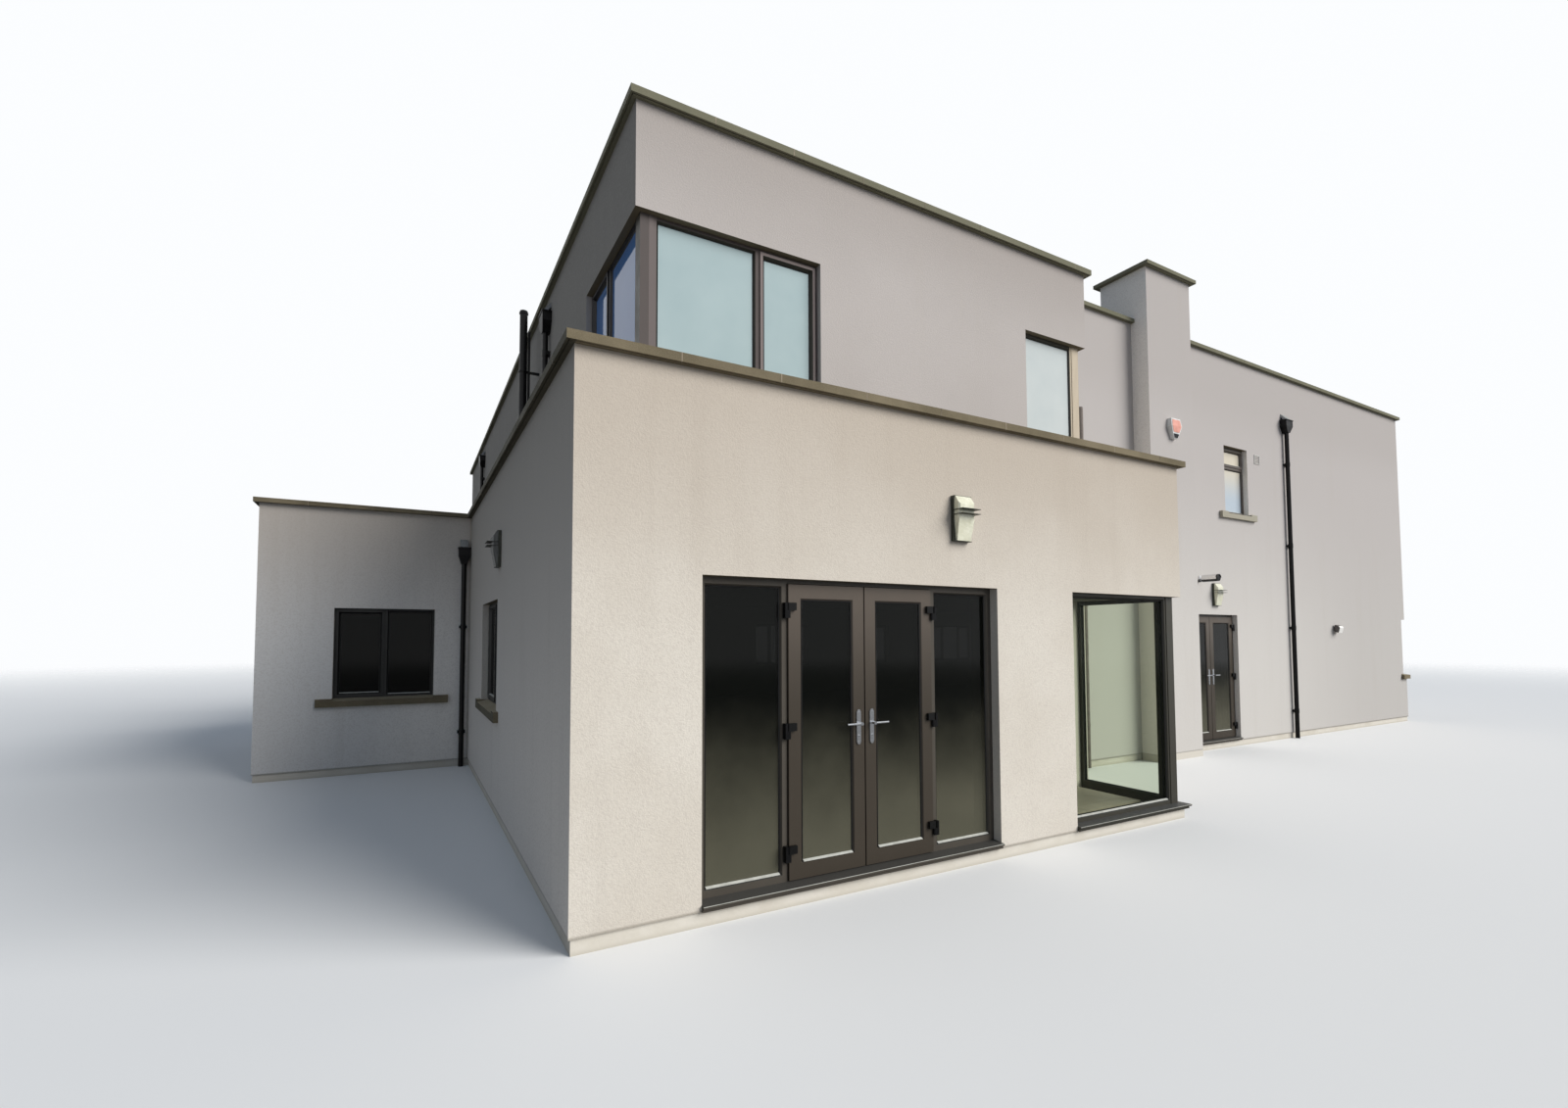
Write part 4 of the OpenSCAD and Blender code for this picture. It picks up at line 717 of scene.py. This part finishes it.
GLAZED_NODES = {
    BODY: ["door_screen_glass", "corner_glass", "window_glass"],
    "front_door_left": ["front_leaf_left_glass"], "front_door_right": ["front_leaf_right_glass"],
    "side_door_left": ["side_leaf_left_glass"], "side_door_right": ["side_leaf_right_glass"],
}
for body, nodes in GLAZED_NODES.items():
    glazing = [pane for node in nodes for pane in panes(node)]
    piece(body + "_gaskets", lambda bm: gaskets(bm, glazing), "rubber", body)
    piece(body + "_beads", lambda bm: beads(bm, glazing), "bead_and_sill_highlight", body)


# Stone

# The copings' thickness, and how far they reach past the walls
COPING_T, COPING_OVER = HIGH["low_coping"].z - BLOCK_TOP, -LOW["low_coping"].y
# A joint's width, and from one joint to the next
JOINT, JOINT_STEP = 0.006, 0.745
# No joint lies nearer than this to a corner
JOINT_CLEAR = 0.2
# How far the mortar stands proud, and how far it reaches into the stone at its sides and top
PROUD, MORTAR_IN, MORTAR_DOWN = 0.0008, 0.012, 0.004
# Where the first joint lies along the two front runs, by the place where the run starts
FIRST_JOINT = {(0, 0): 0.673, (UPPER_LEFT, UPPER_FRONT): 0.65}
COPING_RUNS = (
    (BLOCK_TOP, [(0, BACK), (0, WING_BACK), (WING_LEFT, WING_BACK), (WING_LEFT, WING_FRONT), (0, WING_FRONT),
                 (0, 0), (BLOCK_RIGHT, 0), (BLOCK_RIGHT, MAIN_FRONT)]),
    (UPPER_TOP, [(UPPER_LEFT, BACK), (UPPER_LEFT, UPPER_FRONT), (UPPER_RIGHT, UPPER_FRONT),
                 (UPPER_RIGHT, MAIN_FRONT)]),
    (MAIN_TOP, [(MAIN_LEFT, MAIN_FRONT), (CHIMNEY_LEFT, MAIN_FRONT)]),
    (MAIN_TOP, [(CHIMNEY_RIGHT, MAIN_FRONT), (MAIN_RIGHT, MAIN_FRONT), (MAIN_RIGHT, BACK), (MAIN_LEFT, BACK),
                (MAIN_LEFT, MAIN_FRONT)]),
    (UPPER_TOP, [(MAIN_LEFT, BACK), (UPPER_LEFT, BACK)]),
)


def joints_along(bm, start, end, first):
    """A mortar line round the coping's section at each joint of a run."""
    along = (end - start).normalized()
    outward = along.cross(Z)
    length = (end - start).length
    outer, inner, top = COPING_OVER, -WALL - COPING_OVER, COPING_T
    far = first or (length / 2 - JOINT_CLEAR) % JOINT_STEP + JOINT_CLEAR
    while far < length - JOINT_CLEAR:
        prism(bm, start + along * (far - JOINT / 2), along, JOINT, outward, Z, [
            (outer + PROUD, -PROUD), (outer + PROUD, top + PROUD), (inner - PROUD, top + PROUD),
            (inner - PROUD, -PROUD), (inner + MORTAR_IN, -PROUD), (inner + MORTAR_IN, top - MORTAR_DOWN),
            (outer - MORTAR_IN, top - MORTAR_DOWN), (outer - MORTAR_IN, -PROUD)])
        far += JOINT_STEP


def coping_joints(bm):
    """The joints of all copings, kept just inside the house's outline."""
    for z, points in COPING_RUNS:
        for start, end in zip(points, points[1:]):
            joints_along(bm, at(*start, z), at(*end, z), FIRST_JOINT.get(start))
    low, high = (Vector(corner) for corner in CAD_BOX)
    inside = 0.0002
    for vert in bm.verts:
        for k in (0, 1):
            vert.co[k] = min(max(vert.co[k], low[k] + inside), high[k] - inside)


piece("coping_joints", coping_joints, "mortar")


# Door furniture

PLATE_W, PLATE_T = 0.038, 0.008
# From the plate's foot up to the lever, and from the plate's back to the lever's end
PLATE_DOWN, LEVER_OUT = 0.156, 0.054
# Heights above the lever of the lock and of the two screws
LOCK_Z, SCREW_Z = -0.092, (-0.135, 0.085)


def locks(bm, faces, plate_x, lever_z):
    """The round lock and the two screws on both plates of a handle."""
    for y, out in faces:
        button(bm, Vector((plate_x, y, lever_z + LOCK_Z)), out, radius=0.0085, height=0.003)
        for screw_z in SCREW_Z:
            button(bm, Vector((plate_x, y, lever_z + screw_z)), out, radius=0.0045, height=0.0012, sides=14)


def keyholes(bm, faces, plate_x, lever_z):
    """A dark slot on the face of each lock."""
    width, rise, proud, foot, top = 0.0024, 0.0028, 0.0008, -0.005, 0.004
    for y, out in faces:
        face = Vector((plate_x, y, lever_z + LOCK_Z)) + out * rise
        prism(bm, face - X * (width / 2), X, width, out, Z,
              [(0, foot), (proud, foot), (proud, top), (0, top)])


def meeting_seal(bm, leaf):
    """A black rubber strip on a right leaf's meeting edge."""
    low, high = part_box(leaf)
    back, clear = 0.036, 0.004
    edge = Vector((low.x, low.y + back, low.z + clear))
    prism(bm, edge, Z, high.z - low.z - 2 * clear, -X, Y,
          [(-0.001, 0), (0.003, 0), (0.0045, 0.008), (0.0045, 0.022), (0.003, 0.030), (-0.001, 0.030)])


for leaf in DOORS:
    side, hand = leaf.split("_leaf_")
    low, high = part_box(leaf + "_handle")
    plate_x = high.x - PLATE_W / 2 if hand == "left" else low.x + PLATE_W / 2
    lever_z = low.z + PLATE_DOWN
    faces = [(low.y + LEVER_OUT - PLATE_T, -Y), (high.y - LEVER_OUT + PLATE_T, Y)]
    body = f"{side}_door_{hand}"
    piece(body + "_lock", lambda bm: locks(bm, faces, plate_x, lever_z), "chrome", body)
    piece(body + "_keyhole", lambda bm: keyholes(bm, faces, plate_x, lever_z), "rubber", body)
for side in ("front", "side"):
    piece(side + "_meeting_seal", lambda bm: meeting_seal(bm, side + "_leaf_right"), "rubber",
          side + "_door_right")


# Painted highlights on the metal sills

# How far the sills reach past the walls, and the level of their front edge
NOSE, NOSE_TOP = -LOW["door_screen_frame"].y, 0.142
SILL_NOSES = (
    ((DOORS_LEFT, -NOSE), (DOORS_RIGHT, -NOSE)),
    ((SIDE_DOORS_LEFT, MAIN_FRONT - NOSE), (SIDE_DOORS_RIGHT, MAIN_FRONT - NOSE)),
    ((CORNER_LEFT, -NOSE), (BLOCK_RIGHT + NOSE, -NOSE)),
    ((BLOCK_RIGHT + NOSE, -NOSE), (BLOCK_RIGHT + NOSE, CORNER_BACK)),
)


def sill_highlights(bm):
    """A painted highlight along the nose of each folded metal sill, as a thin bright strip."""
    section = [(-0.001, 0.0004), (0.0008, 0.0004), (0.0008, -0.003), (0.0, -0.003), (-0.001, -0.001)]
    for start, end in SILL_NOSES:
        first, last = at(*start, NOSE_TOP), at(*end, NOSE_TOP)
        along = (last - first).normalized()
        prism(bm, first, along, (last - first).length, along.cross(Z), Z, section)


piece("sill_highlights", sill_highlights, "bead_and_sill_highlight")


# Wall fittings

def grille(bm):
    """Vent grille: a bevelled rim round five sloped slats."""
    low, width, height = at(12.58, MAIN_FRONT, 4.98), 0.18, 0.17
    rim_in, slat_in, slats = 0.02, 0.016, 5
    frame_ring(bm, low, X, Z, -Y, width, height,
               [(0, -0.001), (0, 0.006), (0.004, 0.010), (0.014, 0.010), (0.018, 0.004), (0.018, -0.001)])
    for k in range(slats):
        z = rim_in + (height - 2 * rim_in) * (k + 0.5) / slats
        prism(bm, low + X * slat_in + Z * z, X, width - 2 * slat_in, -Y, Z,
              [(-0.001, 0.004), (-0.001, -0.002), (0.008, -0.008), (0.009, -0.006)])


piece("wall_vent", grille, "vent_plastic")


def alarm_face(bm, foot, top, inset):
    """A raised part of the alarm box's front between two shares of its height."""
    low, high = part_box("alarm_box")
    size = high - low
    middle = Vector(((low.x + high.x) / 2, high.y, low.z))
    lift, sunk = 0.004, 0.002
    # The share of the height where the box is widest and deepest, and what is left at its foot and top
    widest = 0.6
    width_left, depth_left = (0.35, 0.85), (0.75, 0.8)

    def narrowed(share, left):
        if share < widest:
            return left[0] + (1 - left[0]) * share / widest
        return 1 - (1 - left[1]) * (share - widest) / (1 - widest)

    stations = []
    for share in sorted({foot, top} | ({widest} if foot < widest < top else set())):
        w = size.x / 2 * narrowed(share, width_left) - inset
        y = size.y * narrowed(share, depth_left)
        outline = ((-w, y - sunk), (-w + lift, y + lift), (w - lift, y + lift), (w, y - sunk))
        stations.append([middle + Vector((a, -b, share * size.z)) for a, b in outline])
    sweep(bm, stations)


piece("alarm_panel", lambda bm: alarm_face(bm, 0.30, 0.93, inset=0.018), "salmon_panel")
piece("alarm_lamp", lambda bm: alarm_face(bm, 0.02, 0.22, inset=0.008), "rubber")


def chute_plates(bm):
    """Light grey sheets that line the chutes above the hopper heads."""
    out, rise, sheet = 0.094, 0.12, 0.004
    wide, narrow = 0.16, 0.104
    for x, y, z, along, width in ((13.67, MAIN_FRONT, MAIN_RIM, X, wide),
                                  (-0.094, WING_FRONT, LOW_RIM, X, narrow),
                                  (UPPER_LEFT, 4.18, UPPER_RIM, -Y, wide),
                                  (UPPER_LEFT, 11.35, UPPER_RIM, -Y, wide)):
        prism(bm, at(x, y, z) - along * (width / 2), along, width, along.cross(Z), Z, [
            (0.001, rise), (0.001, rise + sheet), (out + 0.003, 0.012), (out + 0.003, sheet), (out, 0.008)])


piece("chute_plates", chute_plates, "grey_metal")


def vent_pipe(bm):
    """A vent pipe up the main wall beside the front block, with a rounded end and three clips."""
    x, radius, foot, top, rounding, sides = 7.69, 0.0425, 0.02, 5.19, 0.004, 24
    clip_h, clip_out, bevel = 0.04, 0.005, 0.003

    def ring(z, around):
        return circle(at(x, MAIN_FRONT - radius, z), X, Y, around, sides)

    sweep(bm, [ring(foot, radius), ring(top - rounding, radius), ring(top, radius - rounding)])
    for z in (0.6, 2.3, 4.0):
        sweep(bm, [ring(z, radius + 0.001), ring(z + bevel, radius + clip_out),
                   ring(z + clip_h - bevel, radius + clip_out), ring(z + clip_h, radius + 0.001)])


piece("vent_pipe", vent_pipe, "vent_pipe")


def camera_lens(bm):
    """The dark end of the tubular fitting over the side doors."""
    low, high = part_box("wall_camera")
    inward, axis_z = 0.014, 2.82
    centre = Vector(((low.x + high.x) / 2, low.y + inward, axis_z))
    button(bm, centre, -Y, radius=0.038, height=0.008, sides=24)


piece("camera_lens", camera_lens, "rubber")


def upstands(bm):
    """The roof sheets dressed up the parapets of the main and the upper roof."""
    rise, thick = 0.12, 0.006
    section = [(-0.001, -0.001), (-0.001, rise), (thick, rise - 0.002), (thick * 2, 0.02),
               (thick * 6, -0.001)]
    for roof in ("main_roof", "upper_roof"):
        low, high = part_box(roof)
        width, depth = (high - low).xy
        frame_ring(bm, Vector((low.x, low.y, high.z)), X, Y, Z, width, depth, section)


piece("roof_upstands", upstands, "roofing")


# Floor, light and camera

def studio_floor():
    """Pale floor that fades into the white backdrop away from the house. It is pale to the camera alone, and
    throws little light back on the walls."""
    reach, fade_from, fade_to = 120.0, 24.0, 60.0
    mesh = bpy.data.meshes.new("studio_floor")
    corners = [(-reach, -reach, 0), (reach, -reach, 0), (reach, reach, 0), (-reach, reach, 0)]
    mesh.from_pydata(corners, [], [(0, 1, 2, 3)])
    floor = bpy.data.objects.new("studio_floor", mesh)
    bpy.context.scene.collection.objects.link(floor)
    cover = bpy.data.materials.new("studio_floor")
    cover.use_nodes = True
    tree = cover.node_tree
    w = Wire(tree)
    shader = tree.nodes["Principled BSDF"]
    shader.inputs["Roughness"].default_value = 0.9
    shader.inputs["Specular IOR Level"].default_value = 0.1
    dull, pale = (0.30, 0.295, 0.285, 1), (0.80, 0.80, 0.79, 1)
    seen = w.node("LightPath", output="Is Camera Ray")
    mixed(w, seen, dull, pale).feed(shader.inputs["Base Color"])
    far = w.node("VectorMath", {"operation": "LENGTH"}, {0: place(w)[0]}, 1)
    blend = w.node("MixShader", None, {0: ease(w, far, fade_from, fade_to), 1: Wire(tree, shader.outputs[0]),
                                       2: w.node("BsdfTransparent")})
    blend.feed(tree.nodes["Material Output"].inputs["Surface"])
    mesh.materials.append(cover)


def studio_world():
    """White to the camera and in gloss and glass, and a faint bluish light on the house."""
    fill, bluish, white = 0.28, (0.79, 0.94, 1.16, 1), (0.97, 0.985, 1.0, 1)
    world = bpy.data.worlds.new("studio")
    world.use_nodes = True
    bpy.context.scene.world = world
    w = Wire(world.node_tree)
    camera, gloss, glass = (w.node("LightPath", output=f"Is {kind} Ray")
                            for kind in ("Camera", "Glossy", "Transmission"))
    seen = w.maths("MAXIMUM", camera, w.maths("MAXIMUM", gloss, glass))
    back = world.node_tree.nodes["Background"]
    mixed(w, seen, bluish, white).feed(back.inputs["Color"])
    (seen * (1 - fill) + fill).feed(back.inputs["Strength"])


def key_light():
    """A wide soft sun from the front right."""
    heading, height = math.radians(42), math.radians(29)
    lamp = bpy.data.lights.new("key", "SUN")
    lamp.energy, lamp.angle, lamp.color = 4.02, math.radians(44), (1.0, 0.985, 0.965)
    made = bpy.data.objects.new("key", lamp)
    bpy.context.scene.collection.objects.link(made)
    level = math.cos(height)
    source = Vector((math.sin(heading) * level, -math.cos(heading) * level, math.sin(height)))
    made.rotation_euler = (-source).to_track_quat("-Z", "Y").to_euler()
    made.visible_glossy = False


def photo_camera():
    """A camera that stands and looks as the photograph's did, at eye height left of the house's front."""
    stand = at(-0.888, -3.999, 1.864)
    yaw, pitch, roll = (math.radians(angle) for angle in (28.418, 2.558, -0.097))
    lens = bpy.data.cameras.new("camera")
    lens.sensor_width, lens.lens = 36.0, 15.212
    lens.shift_x, lens.shift_y = 0.01519, 0.03453
    lens.clip_start, lens.clip_end = 0.05, 500.0
    view = bpy.data.objects.new("camera", lens)
    bpy.context.scene.collection.objects.link(view)
    level = math.cos(pitch)
    forward = Vector((math.sin(yaw) * level, math.cos(yaw) * level, math.sin(pitch)))
    right = Vector((math.cos(yaw), -math.sin(yaw), 0))
    up = right.cross(forward)
    rolled_right = right * math.cos(roll) + up * math.sin(roll)
    rolled_up = up * math.cos(roll) - right * math.sin(roll)
    turn = Matrix((rolled_right, rolled_up, -forward)).transposed().to_4x4()
    view.matrix_world = Matrix.Translation(stand) @ turn
    bpy.context.scene.camera = view


studio_floor()
studio_world()
key_light()
photo_camera()
# Colours show as they are written
bpy.context.scene.view_settings.view_transform = "Standard"
